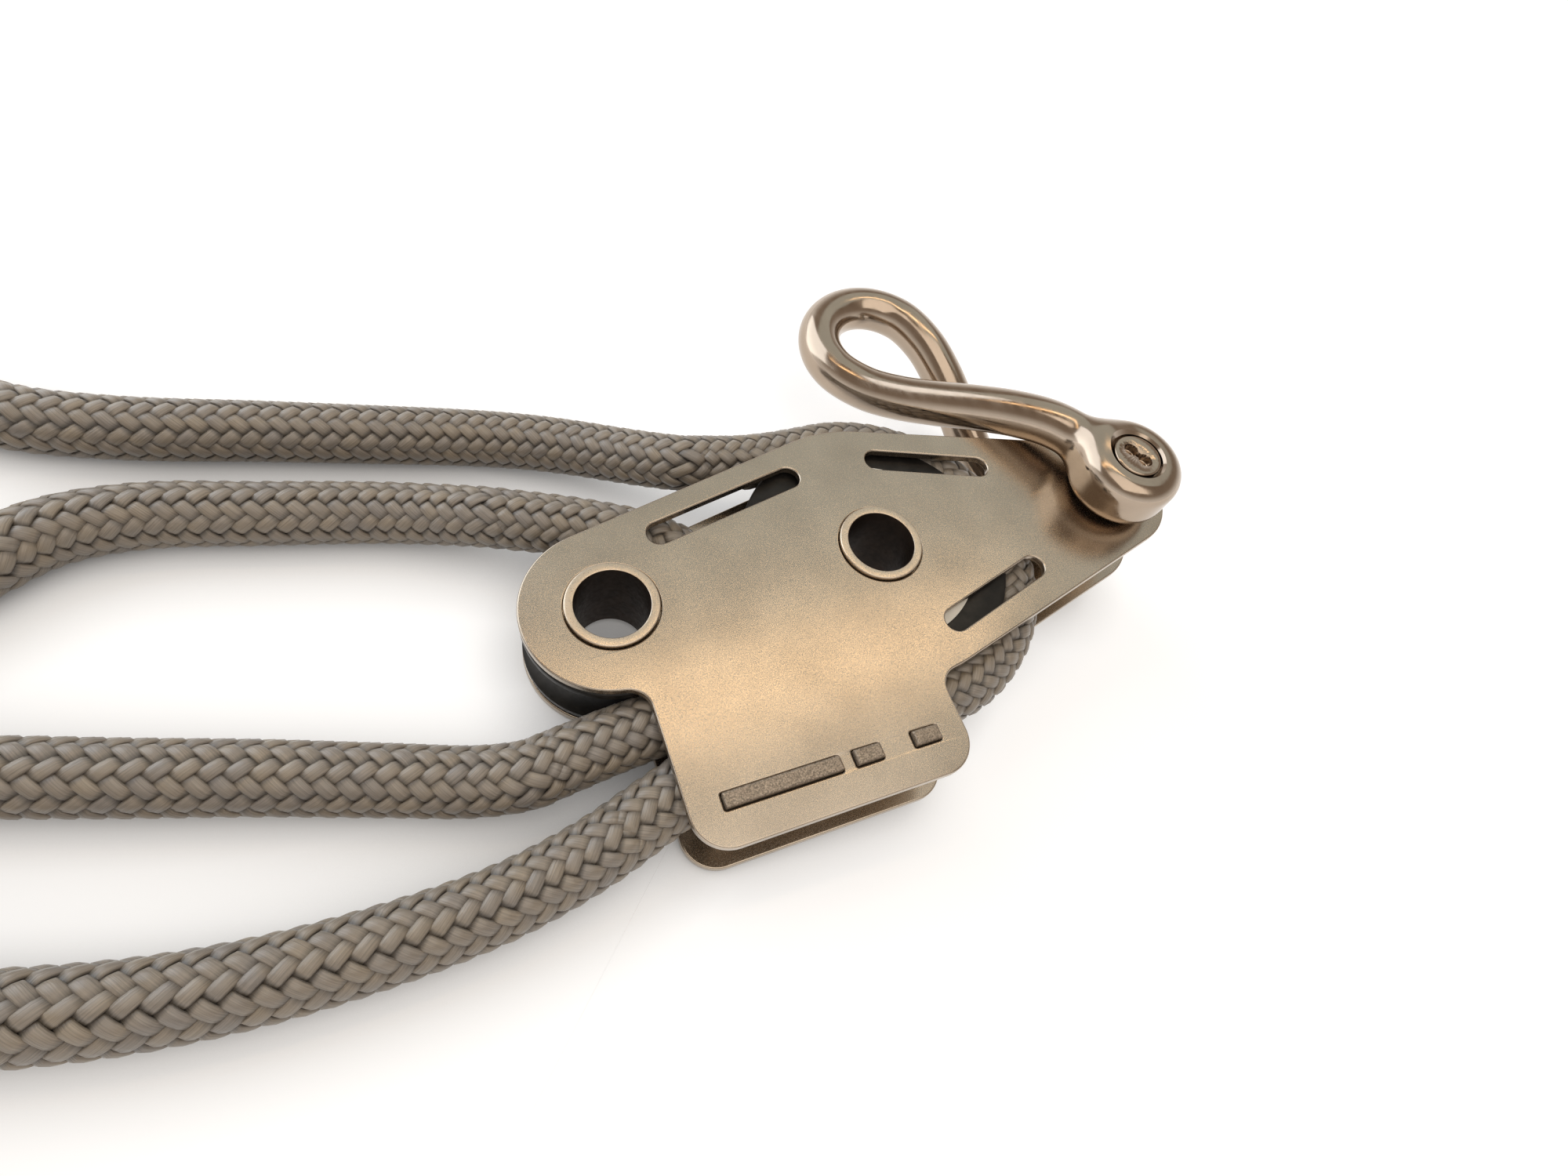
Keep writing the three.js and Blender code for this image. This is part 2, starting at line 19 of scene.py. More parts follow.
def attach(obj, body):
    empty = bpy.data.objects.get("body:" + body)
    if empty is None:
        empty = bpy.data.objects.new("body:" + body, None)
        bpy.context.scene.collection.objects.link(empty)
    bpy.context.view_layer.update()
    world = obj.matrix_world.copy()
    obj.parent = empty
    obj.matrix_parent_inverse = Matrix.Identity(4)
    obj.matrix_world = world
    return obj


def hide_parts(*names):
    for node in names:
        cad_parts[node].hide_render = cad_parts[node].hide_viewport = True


bl_info = {
    "name": "Rope Block",
    "version": (1, 0, 0),
    "blender": (4, 5, 0),
    "location": "View3D > Sidebar > Rope Block",
    "description": "Finished surfaces of a two-sheave rope block with its shackle and rope",
    "category": "Add Mesh",
}

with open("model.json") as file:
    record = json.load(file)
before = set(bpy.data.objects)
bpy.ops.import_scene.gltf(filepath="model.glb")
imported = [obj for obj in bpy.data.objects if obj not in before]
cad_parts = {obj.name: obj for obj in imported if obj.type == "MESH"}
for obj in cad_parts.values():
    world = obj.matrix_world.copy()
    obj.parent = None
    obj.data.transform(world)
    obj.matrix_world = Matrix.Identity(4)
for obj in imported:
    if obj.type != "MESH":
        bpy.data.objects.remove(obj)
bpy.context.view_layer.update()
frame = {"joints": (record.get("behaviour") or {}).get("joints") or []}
MM = 0.001

# ---------------------------------------------------------------- the block's own frame

# Origin on the small sheave's axis at mid height, X towards the nose, Z along the sheave axes.
JOINTS = {joint["name"]: joint for joint in frame["joints"]}
SMALL_CENTRE = Vector(JOINTS["small_sheave_spin"]["pos_m"])
BIG_CENTRE = Vector(JOINTS["big_sheave_spin"]["pos_m"])
PIN_CENTRE = Vector(JOINTS["shackle_swing"]["pos_m"])
AXIS = Vector(JOINTS["small_sheave_spin"]["axis"]).normalized()
ALONG = (BIG_CENTRE - SMALL_CENTRE).normalized()
TURN = Matrix((ALONG, AXIS.cross(ALONG), AXIS)).transposed().to_4x4()
BLOCK = Matrix.Translation(SMALL_CENTRE) @ TURN
BIG_X = (BIG_CENTRE - SMALL_CENTRE).length
PIN_X = (PIN_CENTRE - SMALL_CENTRE).length

# ---------------------------------------------------------------- free rope, in metres

# Each list runs outwards from the block; the rope lies on the surface at LAY.
LAY = 0.0051
BIGHT = [
    (-0.0295, 0.0191, 0.0104), (-0.0350, 0.0229, 0.0084), (-0.0405, 0.0263, 0.0069),
    (-0.0480, 0.0296, 0.0058), (-0.0572, 0.0322, 0.0052), (-0.0753, 0.0353, LAY),
    (-0.0887, 0.0374, LAY), (-0.1057, 0.0399, LAY), (-0.1180, 0.0430, LAY), (-0.1275, 0.0474, LAY),
    (-0.1390, 0.0500, LAY), (-0.1519, 0.0453, LAY), (-0.1587, 0.0335, LAY), (-0.1563, 0.0200, LAY),
    (-0.1458, 0.0112, LAY), (-0.1335, 0.0112, LAY), (-0.1245, 0.0162, LAY), (-0.1155, 0.0213, LAY),
    (-0.1050, 0.0226, LAY), (-0.0900, 0.0207, LAY), (-0.0740, 0.0182, 0.0053),
    (-0.0660, 0.0158, 0.0063),
]
ANCHOR_LEG = [
    (-0.0680, -0.0296, 0.0054), (-0.0783, -0.0264, LAY), (-0.0933, -0.0218, LAY),
    (-0.1068, -0.0180, LAY), (-0.1192, -0.0144, LAY), (-0.1260, -0.0126, LAY),
]
TAIL = [
    (-0.0610, -0.0450, 0.0056), (-0.0690, -0.0463, 0.0052), (-0.0814, -0.0469, LAY),
    (-0.0952, -0.0464, LAY), (-0.1073, -0.0447, LAY), (-0.1183, -0.0420, LAY),
    (-0.1270, -0.0394, LAY), (-0.1340, -0.0382, LAY), (-0.1410, -0.0392, LAY),
    (-0.1470, -0.0416, LAY), (-0.1525, -0.0447, LAY),
]


def length(name, description, millimetres):
    """A size that the user may change, shown in the scene's length unit."""
    return FloatProperty(name=name, description=description, default=millimetres * MM,
                         min=0.0, precision=5, unit="LENGTH")


def colour(name, description, rgb):
    """A colour that the user may change."""
    return FloatVectorProperty(name=name, description=description, default=rgb,
                               min=0.0, max=1.0, subtype="COLOR")


class RopeBlockSizes(bpy.types.PropertyGroup):
    """Sizes of the plates, axles, sheaves and guide"""

    plate: length("Plate thickness", "Thickness of each side plate", 1.5)
    stack: length("Overall thickness", "Over the outsides of both plates", 14.6)
    edge: length("Plate edge", "Radius of the tumbled plate edges", 0.28)
    lobe: length("Lobe radius", "Plate outline round the small axle", 13.5)
    shoulder_x: length("Shoulder place", "Centre of the big round of the outline", 44.0)
    shoulder: length("Shoulder radius", "Plate outline round the big sheave", 24.0)
    nose: length("Nose radius", "Plate outline round the shackle pin", 11.4)
    tab_left: length("Tab start", "Left side of the guide tab", 1.1)
    tab_right: length("Tab end", "Right side of the guide tab", 44.4)
    tab_depth: length("Tab depth", "From the sheave line to the tab's free edge", 38.8)
    tab_corner: length("Tab corner", "Radius of the tab's corners", 5.6)
    fillet: length("Fillet", "Radius where the tab meets the rounds", 3.4)
    slot: length("Slot width", "Width of the lightening slots", 4.1)
    clearance: length("Clearance", "Gap between pieces that touch or turn", 0.15)
    bore: length("Axle bore", "Inside radius of the hollow axles", 5.6)
    axle: length("Axle radius", "Outside radius of an axle in the plates", 7.0)
    axle_shoulder: length("Axle shoulder", "Outside radius between the plates", 7.5)
    axle_proud: length("Axle stand-out", "How far an axle stands out of a plate", 0.65)
    sheave_width: length("Sheave width", "Width over a sheave's flanges", 10.4)
    small_flange: length("Small flange", "Flange radius of the small sheave", 13.4)
    big_flange: length("Big flange", "Flange radius of the big sheave", 23.0)
    small_washer: length("Small washer", "Outside radius beside the small sheave", 11.4)
    big_washer: length("Big washer", "Outside radius beside the big sheave", 17.0)
    washer: length("Washer", "Thickness of a thrust washer", 0.3)
    bush: length("Bush wall", "Wall of the small sheave's bush", 2.0)
    race: length("Race wall", "Wall of each bearing race", 2.25)
    ball: length("Ball radius", "Radius of a bearing ball", 1.75)
    balls: IntProperty(name="Balls", description="Balls in the bearing", default=11, min=3)
    spacer: length("Spacer wall", "Wall of the tube round the shackle pin", 2.2)


class RopeBlockShackle(bpy.types.PropertyGroup):
    """Sizes of the twisted shackle and its pin"""

    swing: FloatProperty(name="Swing", description="Angle of the bow from straight ahead",
                         default=math.radians(117.5), subtype="ANGLE")
    eye: length("Eye radius", "Outside radius of an eye", 9.3)
    eye_height: length("Eye height", "Height of an eye along the pin", 10.0)
    eye_round: length("Eye rounding", "Radius of an eye's rims", 3.1)
    eye_gap: length("Eye gap", "From a plate to the eye beside it", 1.0)
    wire: length("Wire radius", "Radius of the wire", 4.2)
    bow: length("Bow radius", "Centreline radius of the bow", 11.3)
    reach: length("Reach", "From the pin to the middle of the bow", 54.0)
    straight: length("Straight", "How far a leg runs before it twists", 9.0)
    blend: length("Blend", "Forged fillet between wire and eye", 3.2)
    pin: length("Pin radius", "Radius of the pin", 4.0)
    head: length("Head radius", "Radius of the flush head", 4.35)
    seat: length("Seat radius", "Radius of the head's seat in the eye", 4.75)
    head_depth: length("Head depth", "Depth of the head", 2.4)


class RopeBlockRope(bpy.types.PropertyGroup):
    """Sizes of the rope, its route in the block and its coil"""

    radius: length("Rope radius", "Radius over the braid", 5.0)
    small_turn: length("Small turn", "Centreline radius round the small axle", 17.0)
    big_turn: length("Big turn", "Centreline radius round the big axle", 25.6)
    groove: length("Groove clearance", "From the rope to the sheave's groove", 0.3)
    carriers: IntProperty(name="Carriers", description="Yarns in the braid", default=24, min=8)
    pitch: length("Pick", "Distance along the rope between yarns of one hand", 2.8)
    yarn: length("Yarn width", "Half width of a flattened yarn", 1.04)
    yarn_height: length("Yarn height", "Half height of a flattened yarn", 0.46)
    coil_radius: length("Coil radius", "Centreline radius of the stored coil", 50.0)
    coil_x: FloatProperty(name="Coil X", description="Middle of the coil", default=-0.2055,
                          unit="LENGTH", precision=5)
    coil_y: FloatProperty(name="Coil Y", description="Middle of the coil", default=-0.0175,
                          unit="LENGTH", precision=5)
    cap: length("End cap", "Length of a shrunk-on end cap", 12.0)
    bight_length: length("Bight length", "Free rope between the two sheaves", 275.0)
    leg_length: length("Leg length", "Free rope from the small sheave to its end", 70.0)
    tail_length: length("Tail length", "Free rope from the guide to its end", 975.0)


class RopeBlockFinishes(bpy.types.PropertyGroup):
    """Colours of the finishes"""

    steel: colour("Satin steel", "Bead-blasted stainless plates", (0.475, 0.40, 0.318))
    rim: colour("Turned steel", "Axle ends", (0.60, 0.50, 0.39))
    polished: colour("Polished steel", "Shackle and pin", (0.43, 0.345, 0.268))
    anodised: colour("Anodised", "Sheaves", (0.018, 0.016, 0.014))
    # Near-black inside of the axles: painted shade in the hollow bores.
    painted_shade: colour("Stained bore", "Inside of the axles", (0.03, 0.017, 0.010))
    cast: colour("Cast", "Rope guide", (0.30, 0.245, 0.19))
    rope: colour("Rope", "Braided cover", (0.30, 0.255, 0.205))
    core: colour("Rope core", "Shade between the yarns", (0.035, 0.028, 0.021))
    sleeve: colour("Sleeve", "Shrunk-on end caps", (0.022, 0.021, 0.02))
    bronze: colour("Bronze", "Bush and cage", (0.45, 0.30, 0.14))
    acetal: colour("Acetal", "Thrust washers", (0.72, 0.69, 0.62))
    floor: colour("Floor", "Pale studio floor", (0.52, 0.515, 0.51))


# ---------------------------------------------------------------- mesh helpers


def mesh_object(name, verts, faces, place=None):
    """A smooth-shaded mesh object of these points and faces, put in place by a matrix."""
    mesh = bpy.data.meshes.new(name)
    mesh.from_pydata([tuple(v) for v in verts], [], [tuple(f) for f in faces])
    if place is not None:
        mesh.transform(place)
    piece = bpy.data.objects.new(name, mesh)
    bpy.context.scene.collection.objects.link(piece)
    tidy_mesh(mesh)
    return piece


def tidy_mesh(mesh, merge=1e-7, sharp=math.radians(32)):
    """Merges doubled points, turns the faces outwards, and shades it smooth but for its edges."""
    shape = bmesh.new()
    shape.from_mesh(mesh)
    bmesh.ops.remove_doubles(shape, verts=shape.verts, dist=merge)
    bmesh.ops.recalc_face_normals(shape, faces=shape.faces)
    shape.to_mesh(mesh)
    shape.free()
    mesh.polygons.foreach_set("use_smooth", [True] * len(mesh.polygons))
    mesh.set_sharp_from_angle(angle=sharp)


def apply_modifiers(piece):
    """Replaces the piece's mesh by what its modifiers make of it."""
    graph = bpy.context.evaluated_depsgraph_get()
    graph.update()
    mesh = bpy.data.meshes.new_from_object(piece.evaluated_get(graph))
    old = piece.data
    piece.modifiers.clear()
    piece.data = mesh
    bpy.data.meshes.remove(old)


def flat_normals(piece):
    """Lets the large faces set the shading, so that flats beside small rounds stay flat."""
    modifier = piece.modifiers.new("Weighted Normals", "WEIGHTED_NORMAL")
    modifier.keep_sharp = True
    modifier.weight = 100


def finish(piece, material, body, slot, *nodes):
    """Gives a piece its material and body, and hides the CAD nodes that it stands for; the slot is not
    used.
    """
    if not piece.data.materials:
        piece.data.materials.append(material)
    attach(piece, body)
    if nodes:
        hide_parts(*nodes)
    return piece


def arc(x, y, radius, start, end, step=math.radians(5)):
    """Points on an arc from one angle to another, both ends included."""
    count = max(2, math.ceil(abs(end - start) / step))
    angles = [start + (end - start) * i / count for i in range(count + 1)]
    return [(x + radius * math.cos(a), y + radius * math.sin(a)) for a in angles]


def rounded(corners, steps=5):
    """A closed outline of (x, y, radius) corners, each rounded by its radius."""
    outline = []
    for i, (x, y, radius) in enumerate(corners):
        here = Vector((x, y))
        if radius <= 0:
            outline.append(tuple(here))
            continue
        before = (Vector(corners[i - 1][:2]) - here).normalized()
        after = (Vector(corners[(i + 1) % len(corners)][:2]) - here).normalized()
        half = before.angle(after) / 2
        reach = radius / math.tan(half)
        centre = here + (before + after).normalized() * radius / math.sin(half)
        first = here + before * reach - centre
        last = here + after * reach - centre
        sweep = first.angle_signed(last)
        for k in range(steps + 1):
            spoke = first.copy()
            spoke.rotate(Matrix.Rotation(-sweep * k / steps, 2))
            outline.append(tuple(centre + spoke))
    return outline


def turned(name, profile, place, segments=96):
    """A piece turned about Z from a closed outline of (radius, height) points."""
    points = np.array(profile)
    angles = np.linspace(0, 2 * math.pi, segments, endpoint=False)
    verts = [(r * math.cos(a), r * math.sin(a), z) for a in angles for r, z in points]
    count = len(points)
    faces = []
    for i in range(segments):
        j = (i + 1) % segments
        for k in range(count):
            m = (k + 1) % count
            faces.append((i * count + k, j * count + k, j * count + m, i * count + m))
    piece = mesh_object(name, verts, faces, place)
    clean_poles(piece.data)
    return piece


def clean_poles(mesh):
    """Drops faces that have no area, as where a turned outline touches its axis."""
    shape = bmesh.new()
    shape.from_mesh(mesh)
    bmesh.ops.dissolve_degenerate(shape, dist=1e-7, edges=shape.edges)
    shape.to_mesh(mesh)
    shape.free()


def slab(name, outer, holes, low, high, edge, place):
    """A plate with holes and rounded edges. The outline runs anticlockwise and holes clockwise."""
    loops = [np.array(outer)] + [np.array(hole)[::-1] for hole in holes]
    steps = 4
    rims = [(edge * (1 - math.sin(a)), low + edge * (1 - math.cos(a)))
            for a in (math.pi / 2 * k / steps for k in range(steps + 1))]
    rims += [(inset, high + low - z) for inset, z in reversed(rims)]
    verts = []
    faces = []
    total = sum(len(loop) for loop in loops)
    for inset, z in rims:
        for loop in loops:
            for x, y in inset_loop(loop, inset):
                verts.append((x, y, z))
    for level in range(len(rims) - 1):
        base = level * total
        for loop in loops:
            count = len(loop)
            for i in range(count):
                j = (i + 1) % count
                faces.append((base + i, base + j, base + total + j, base + total + i))
            base += count
    ends = [[Vector(v) for v in verts[:total]], [Vector(v) for v in verts[-total:]]]
    for end, offset in zip(ends, (0, total * (len(rims) - 1))):
        polygons, start = [], 0
        for loop in loops:
            polygons.append(end[start:start + len(loop)])
            start += len(loop)
        faces += [tuple(offset + i for i in tri) for tri in tessellate_polygon(polygons)]
    piece = mesh_object(name, verts, faces, place)
    flat_normals(piece)
    return piece


def inset_loop(loop, inset):
    """The loop moved by inset towards its left side, which is the side of the material."""
    before = loop - np.roll(loop, 1, axis=0)
    after = np.roll(loop, -1, axis=0) - loop
    before /= np.linalg.norm(before, axis=1)[:, None]
    after /= np.linalg.norm(after, axis=1)[:, None]
    left = np.stack([-(before + after)[:, 1], (before + after)[:, 0]], axis=1)
    left /= np.linalg.norm(left, axis=1)[:, None]
    return loop + left * inset


def cut(piece, cutter):
    """Takes one closed mesh out of another."""
    modifier = piece.modifiers.new("Cut", "BOOLEAN")
    modifier.object = cutter
    modifier.solver = "EXACT"
    apply_modifiers(piece)
    bpy.data.objects.remove(cutter)


# ---------------------------------------------------------------- material helpers


def material(name):
    """A new node material with its shader and output: (material, nodes, links, shader)."""
    made = bpy.data.materials.new(name)
    made.use_nodes = True
    nodes = made.node_tree.nodes
    return made, nodes, made.node_tree.links, nodes["Principled BSDF"]


def place_noise(nodes, links, scale, detail=3.0, stretch=(1, 1, 1)):
    """Noise fixed to the object's own coordinates. Scale is in cells per metre."""
    place = nodes.new("ShaderNodeTexCoord")
    mapping = nodes.new("ShaderNodeMapping")
    mapping.inputs["Scale"].default_value = stretch
    texture = nodes.new("ShaderNodeTexNoise")
    texture.inputs["Scale"].default_value = scale
    texture.inputs["Detail"].default_value = detail
    links.new(place.outputs["Object"], mapping.inputs["Vector"])
    links.new(mapping.outputs["Vector"], texture.inputs["Vector"])
    return texture.outputs["Fac"]


def ramp(nodes, links, value, stops):
    """Maps a value to colours: stops are (position, colour)."""
    node = nodes.new("ShaderNodeValToRGB")
    for i, (position, rgb) in enumerate(stops):
        if i > 1:
            node.color_ramp.elements.new(position)
        node.color_ramp.elements[i].position = position
    for element, (position, rgb) in zip(node.color_ramp.elements, stops):
        element.color = (*rgb, 1.0)
    links.new(value, node.inputs["Fac"])
    return node.outputs["Color"]


def worked(nodes, links, operation, first, second=None):
    """The output of a sum on one or two values, each a socket or a number."""
    node = nodes.new("ShaderNodeMath")
    node.operation = operation
    for socket, value in zip(node.inputs, (first, second)):
        if isinstance(value, float):
            socket.default_value = value
        elif value is not None:
            links.new(value, socket)
    return node.outputs["Value"]


def multiplied(nodes, links, first, second):
    """Two colours multiplied."""
    node = nodes.new("ShaderNodeMix")
    node.data_type = "RGBA"
    node.blend_type = "MULTIPLY"
    node.inputs["Factor"].default_value = 1.0
    links.new(first, node.inputs["A"])
    links.new(second, node.inputs["B"])
    return node.outputs["Result"]


def uv_parts(nodes, links, name):
    """The two numbers of a map of the yarns."""
    uv = nodes.new("ShaderNodeUVMap")
    uv.uv_map = name
    parts = nodes.new("ShaderNodeSeparateXYZ")
    links.new(uv.outputs["UV"], parts.inputs["Vector"])
    return parts.outputs["X"], parts.outputs["Y"]


def yarn_noise(nodes, links, x, y, scale, detail):
    """Noise over a place that is worked out from the map of the yarns."""
    place = nodes.new("ShaderNodeCombineXYZ")
    links.new(x, place.inputs["X"])
    links.new(y, place.inputs["Y"])
    texture = nodes.new("ShaderNodeTexNoise")
    texture.inputs["Scale"].default_value = scale
    texture.inputs["Detail"].default_value = detail
    links.new(place.outputs["Vector"], texture.inputs["Vector"])
    return texture.outputs["Fac"]


def shades(rgb, low, high):
    """Two stops of one colour, darkened and lightened."""
    return [(0.3, [c * low for c in rgb]), (0.7, [min(1.0, c * high) for c in rgb])]


def bump(nodes, links, shader, height, strength, distance, below=None):
    """Feeds a height to the shader's normal; distance is in metres."""
    node = nodes.new("ShaderNodeBump")
    node.inputs["Strength"].default_value = strength
    node.inputs["Distance"].default_value = distance
    links.new(height, node.inputs["Height"])
    if below is not None:
        links.new(below, node.inputs["Normal"])
    links.new(node.outputs["Normal"], shader.inputs["Normal"])
    return node.outputs["Normal"]


def satin_metal(name, rgb, roughness, grain=5600, depth=9e-6, mottle=90):
    """Bead-blasted metal: a fine grain in the surface and a faint cloudiness in the colour."""
    made, nodes, links, shader = material(name)
    shader.inputs["Metallic"].default_value = 1.0
    cloud = place_noise(nodes, links, mottle, 4.0)
    links.new(ramp(nodes, links, cloud, shades(rgb, 0.89, 1.1)), shader.inputs["Base Color"])
    fine = place_noise(nodes, links, grain, 2.0)
    low, high = [roughness - 0.05] * 3, [roughness + 0.07] * 3
    links.new(ramp(nodes, links, fine, [(0.3, low), (0.7, high)]), shader.inputs["Roughness"])
    bump(nodes, links, shader, fine, 0.5, depth)
    return made


def polished_metal(name, rgb):
    """Mirror-polished metal with faint hairlines and handling marks."""
    made, nodes, links, shader = material(name)
    shader.inputs["Metallic"].default_value = 1.0
    smear = place_noise(nodes, links, 160, 3.0)
    links.new(ramp(nodes, links, smear, shades(rgb, 0.95, 1.04)), shader.inputs["Base Color"])
    lines = place_noise(nodes, links, 900, 2.0, (1, 0.06, 1))
    links.new(ramp(nodes, links, lines, [(0.35, [0.13] * 3), (0.75, [0.23] * 3)]),
              shader.inputs["Roughness"])
    return made


def dark_metal(name, rgb, roughness, metallic):
    """Dark metal with rubbed, uneven shine: the anodised sheaves, and the near-black inside of the axle
    bores, which is painted shade.
    """
    made, nodes, links, shader = material(name)
    shader.inputs["Metallic"].default_value = metallic
    wear = place_noise(nodes, links, 420, 5.0)
    links.new(ramp(nodes, links, wear, shades(rgb, 0.7, 1.5)), shader.inputs["Base Color"])
    rough = place_noise(nodes, links, 1500, 3.0)
    low, high = [roughness - 0.08] * 3, [roughness + 0.1] * 3
    links.new(ramp(nodes, links, rough, [(0.3, low), (0.7, high)]), shader.inputs["Roughness"])
    bump(nodes, links, shader, rough, 0.3, 2e-5)
    return made


def cast_metal(name, rgb):
    """Rough cast steel, pitted, with rubbed high spots lighter and painted shade darkening the colour in
    the pits.
    """
    made, nodes, links, shader = material(name)
    shader.inputs["Metallic"].default_value = 0.8
    pits = place_noise(nodes, links, 4200, 6.0)
    # Dark end: painted shade in the pits of the bump; light end: rubbed wear on the high spots.
    links.new(ramp(nodes, links, pits, [(0.34, [c * 0.55 for c in rgb]), (0.5, rgb),
                                        (0.68, [min(1.0, c * 1.7) for c in rgb])]),
              shader.inputs["Base Color"])
    shader.inputs["Roughness"].default_value = 0.52
    bump(nodes, links, shader, pits, 0.6, 3.5e-5)
    return made


def plastic(name, rgb, roughness, grain):
    """Moulded plastic with a fine matt texture and slight colour drift."""
    made, nodes, links, shader = material(name)
    drift = place_noise(nodes, links, 120, 3.0)
    links.new(ramp(nodes, links, drift, shades(rgb, 0.88, 1.15)), shader.inputs["Base Color"])
    shader.inputs["Roughness"].default_value = roughness
    bump(nodes, links, shader, place_noise(nodes, links, grain, 2.0), 0.4, 3e-5)
    return made


def yarn_material(name, rgb):
    """Braided polyester yarn: filaments along each yarn, yarns that differ slightly, and painted shade at
    each yarn's edges and underside and where it dives under the others.
    """
    made, nodes, links, shader = material(name)
    run, carrier = uv_parts(nodes, links, "yarn")
    filaments = yarn_noise(nodes, links, worked(nodes, links, "MULTIPLY", run, 0.22),
                           worked(nodes, links, "MULTIPLY", carrier, 46.0), 1.0, 3.0)
    lot = yarn_noise(nodes, links, worked(nodes, links, "MULTIPLY", run, 0.19),
                     worked(nodes, links, "FLOOR", carrier), 1.7, 1.0)
    warm = (rgb[0] * 1.10, rgb[1] * 1.07, rgb[2])
    cool = (rgb[0] * 0.90, rgb[1] * 0.93, rgb[2])
    # The yarn's rise in the braid, which sets painted shade where it dives under.
    lift, _ = uv_parts(nodes, links, "lift")
    # Place round the yarn's section; its edges and underside get painted shade for the gaps between yarns.
    side = worked(nodes, links, "FRACT", carrier)
    shaded = ramp(nodes, links, lot, [(0.3, cool), (0.7, warm)])
    # Each ramp darkens the colour: the filaments, then painted shade at the yarn's edges and underside,
    # then painted shade where the yarn dives under the others.
    for value, tones in ((filaments, [(0.3, 0.66), (0.66, 1.0)]),
                         (side, [(0.0, 0.5), (0.07, 1.0), (0.38, 1.0), (0.45, 0.5)]),
                         (lift, [(0.1, 0.35), (0.8, 1.0)])):
        stops = [(position, (tone,) * 3) for position, tone in tones]
        shaded = multiplied(nodes, links, shaded, ramp(nodes, links, value, stops))
    links.new(shaded, shader.inputs["Base Color"])
    shader.inputs["Roughness"].default_value = 0.36
    shader.inputs["Specular IOR Level"].default_value = 0.7
    shader.inputs["Sheen Weight"].default_value = 0.12
    shader.inputs["Sheen Roughness"].default_value = 0.4
    bump(nodes, links, shader, filaments, 0.7, 9e-5)
    return made


# ---------------------------------------------------------------- plates, axles and sheaves


def plate_outline(sizes):
    """Lobe, shoulder and nose rounds joined by tangents, with the guide tab below."""
    to_shoulder = math.acos((sizes.lobe - sizes.shoulder) / sizes.shoulder_x)
    to_nose = math.acos((sizes.shoulder - sizes.nose) / (PIN_X - sizes.shoulder_x))
    left_x = sizes.tab_left - sizes.fillet
    left_y = -math.sqrt((sizes.lobe + sizes.fillet) ** 2 - left_x ** 2)
    left = math.atan2(left_y, left_x)
    right_x = sizes.tab_right + sizes.fillet
    run = right_x - sizes.shoulder_x
    right_y = -math.sqrt((sizes.shoulder + sizes.fillet) ** 2 - run ** 2)
    right = math.atan2(right_y, run)
    corner = sizes.tab_corner
    low = corner - sizes.tab_depth
    pieces = [
        (PIN_X, 0, sizes.nose, -to_nose, to_nose),
        (sizes.shoulder_x, 0, sizes.shoulder, to_nose, to_shoulder),
        (0, 0, sizes.lobe, to_shoulder, left + 2 * math.pi),
        (left_x, left_y, sizes.fillet, left + math.pi, 0),
        (sizes.tab_left + corner, low, corner, math.pi, 1.5 * math.pi),
        (sizes.tab_right - corner, low, corner, 1.5 * math.pi, 2 * math.pi),
        (right_x, right_y, sizes.fillet, math.pi, right + math.pi),
        (sizes.shoulder_x, 0, sizes.shoulder, right, -to_nose),
    ]
    outline = []
    for piece in pieces:
        outline += arc(*piece, step=math.radians(4))
    return outline


LONG_SLOT = ((0.0104, 0.0106), (0.0345, 0.0161))
NOSE_SLOT = ((0.0516, 0.0163), (0.0698, 0.0108))
LUG_Y = -0.0325
LUG_WIDTH = 0.0022
LUG_SPANS = ((0.0061, 0.0237), (0.0260, 0.0302), (0.0356, 0.0398))
LUG_PROUD = 0.0009


def slot_outline(start, end, width):
    """A slot with round ends between two points."""
    angle = math.atan2(end[1] - start[1], end[0] - start[0])
    half = math.pi / 2
    return (arc(*end, width / 2, angle - half, angle + half, math.radians(10))
            + arc(*start, width / 2, angle + half, angle + 3 * half, math.radians(10)))


def plate_holes(sizes, shackle):
    """Outlines of the axle and pin holes, the slots and the lug windows."""
    full = 2 * math.pi
    step = math.radians(5)
    holes = [arc(x, 0, radius + sizes.clearance, 0, full - step, step)
             for x, radius in ((0, sizes.axle), (BIG_X, sizes.axle), (PIN_X, shackle.pin))]
    mirrored = tuple((x, -y) for x, y in NOSE_SLOT)
    for start, end in (LONG_SLOT, NOSE_SLOT, mirrored):
        holes.append(slot_outline(start, end, sizes.slot))
    for left, right in LUG_SPANS:
        gap = sizes.clearance
        low, high = LUG_Y - LUG_WIDTH / 2 - gap, LUG_Y + LUG_WIDTH / 2 + gap
        holes.append(rounded([(x, y, 0.0003) for x, y in (
            (left - gap, low), (right + gap, low), (right + gap, high), (left - gap, high))], 3))
    return holes


class ROPEBLOCK_OT_plates(bpy.types.Operator):
    """Make the two side plates with tumbled edges"""

    bl_idname = "ropeblock.plates"
    bl_label = "Side Plates"

    def execute(self, context):
        sizes = context.scene.rope_block_sizes
        steel = satin_metal("satin steel", context.scene.rope_block_finishes.steel, 0.23)
        outline = plate_outline(sizes)
        holes = plate_holes(sizes, context.scene.rope_block_shackle)
        half = sizes.stack / 2
        for name, low in (("back_plate", -half), ("front_plate", half - sizes.plate)):
            piece = slab("satin_" + name, outline, holes, low, low + sizes.plate, sizes.edge, BLOCK)
            finish(piece, steel, "block", "plate_steel", name)
        return {"FINISHED"}


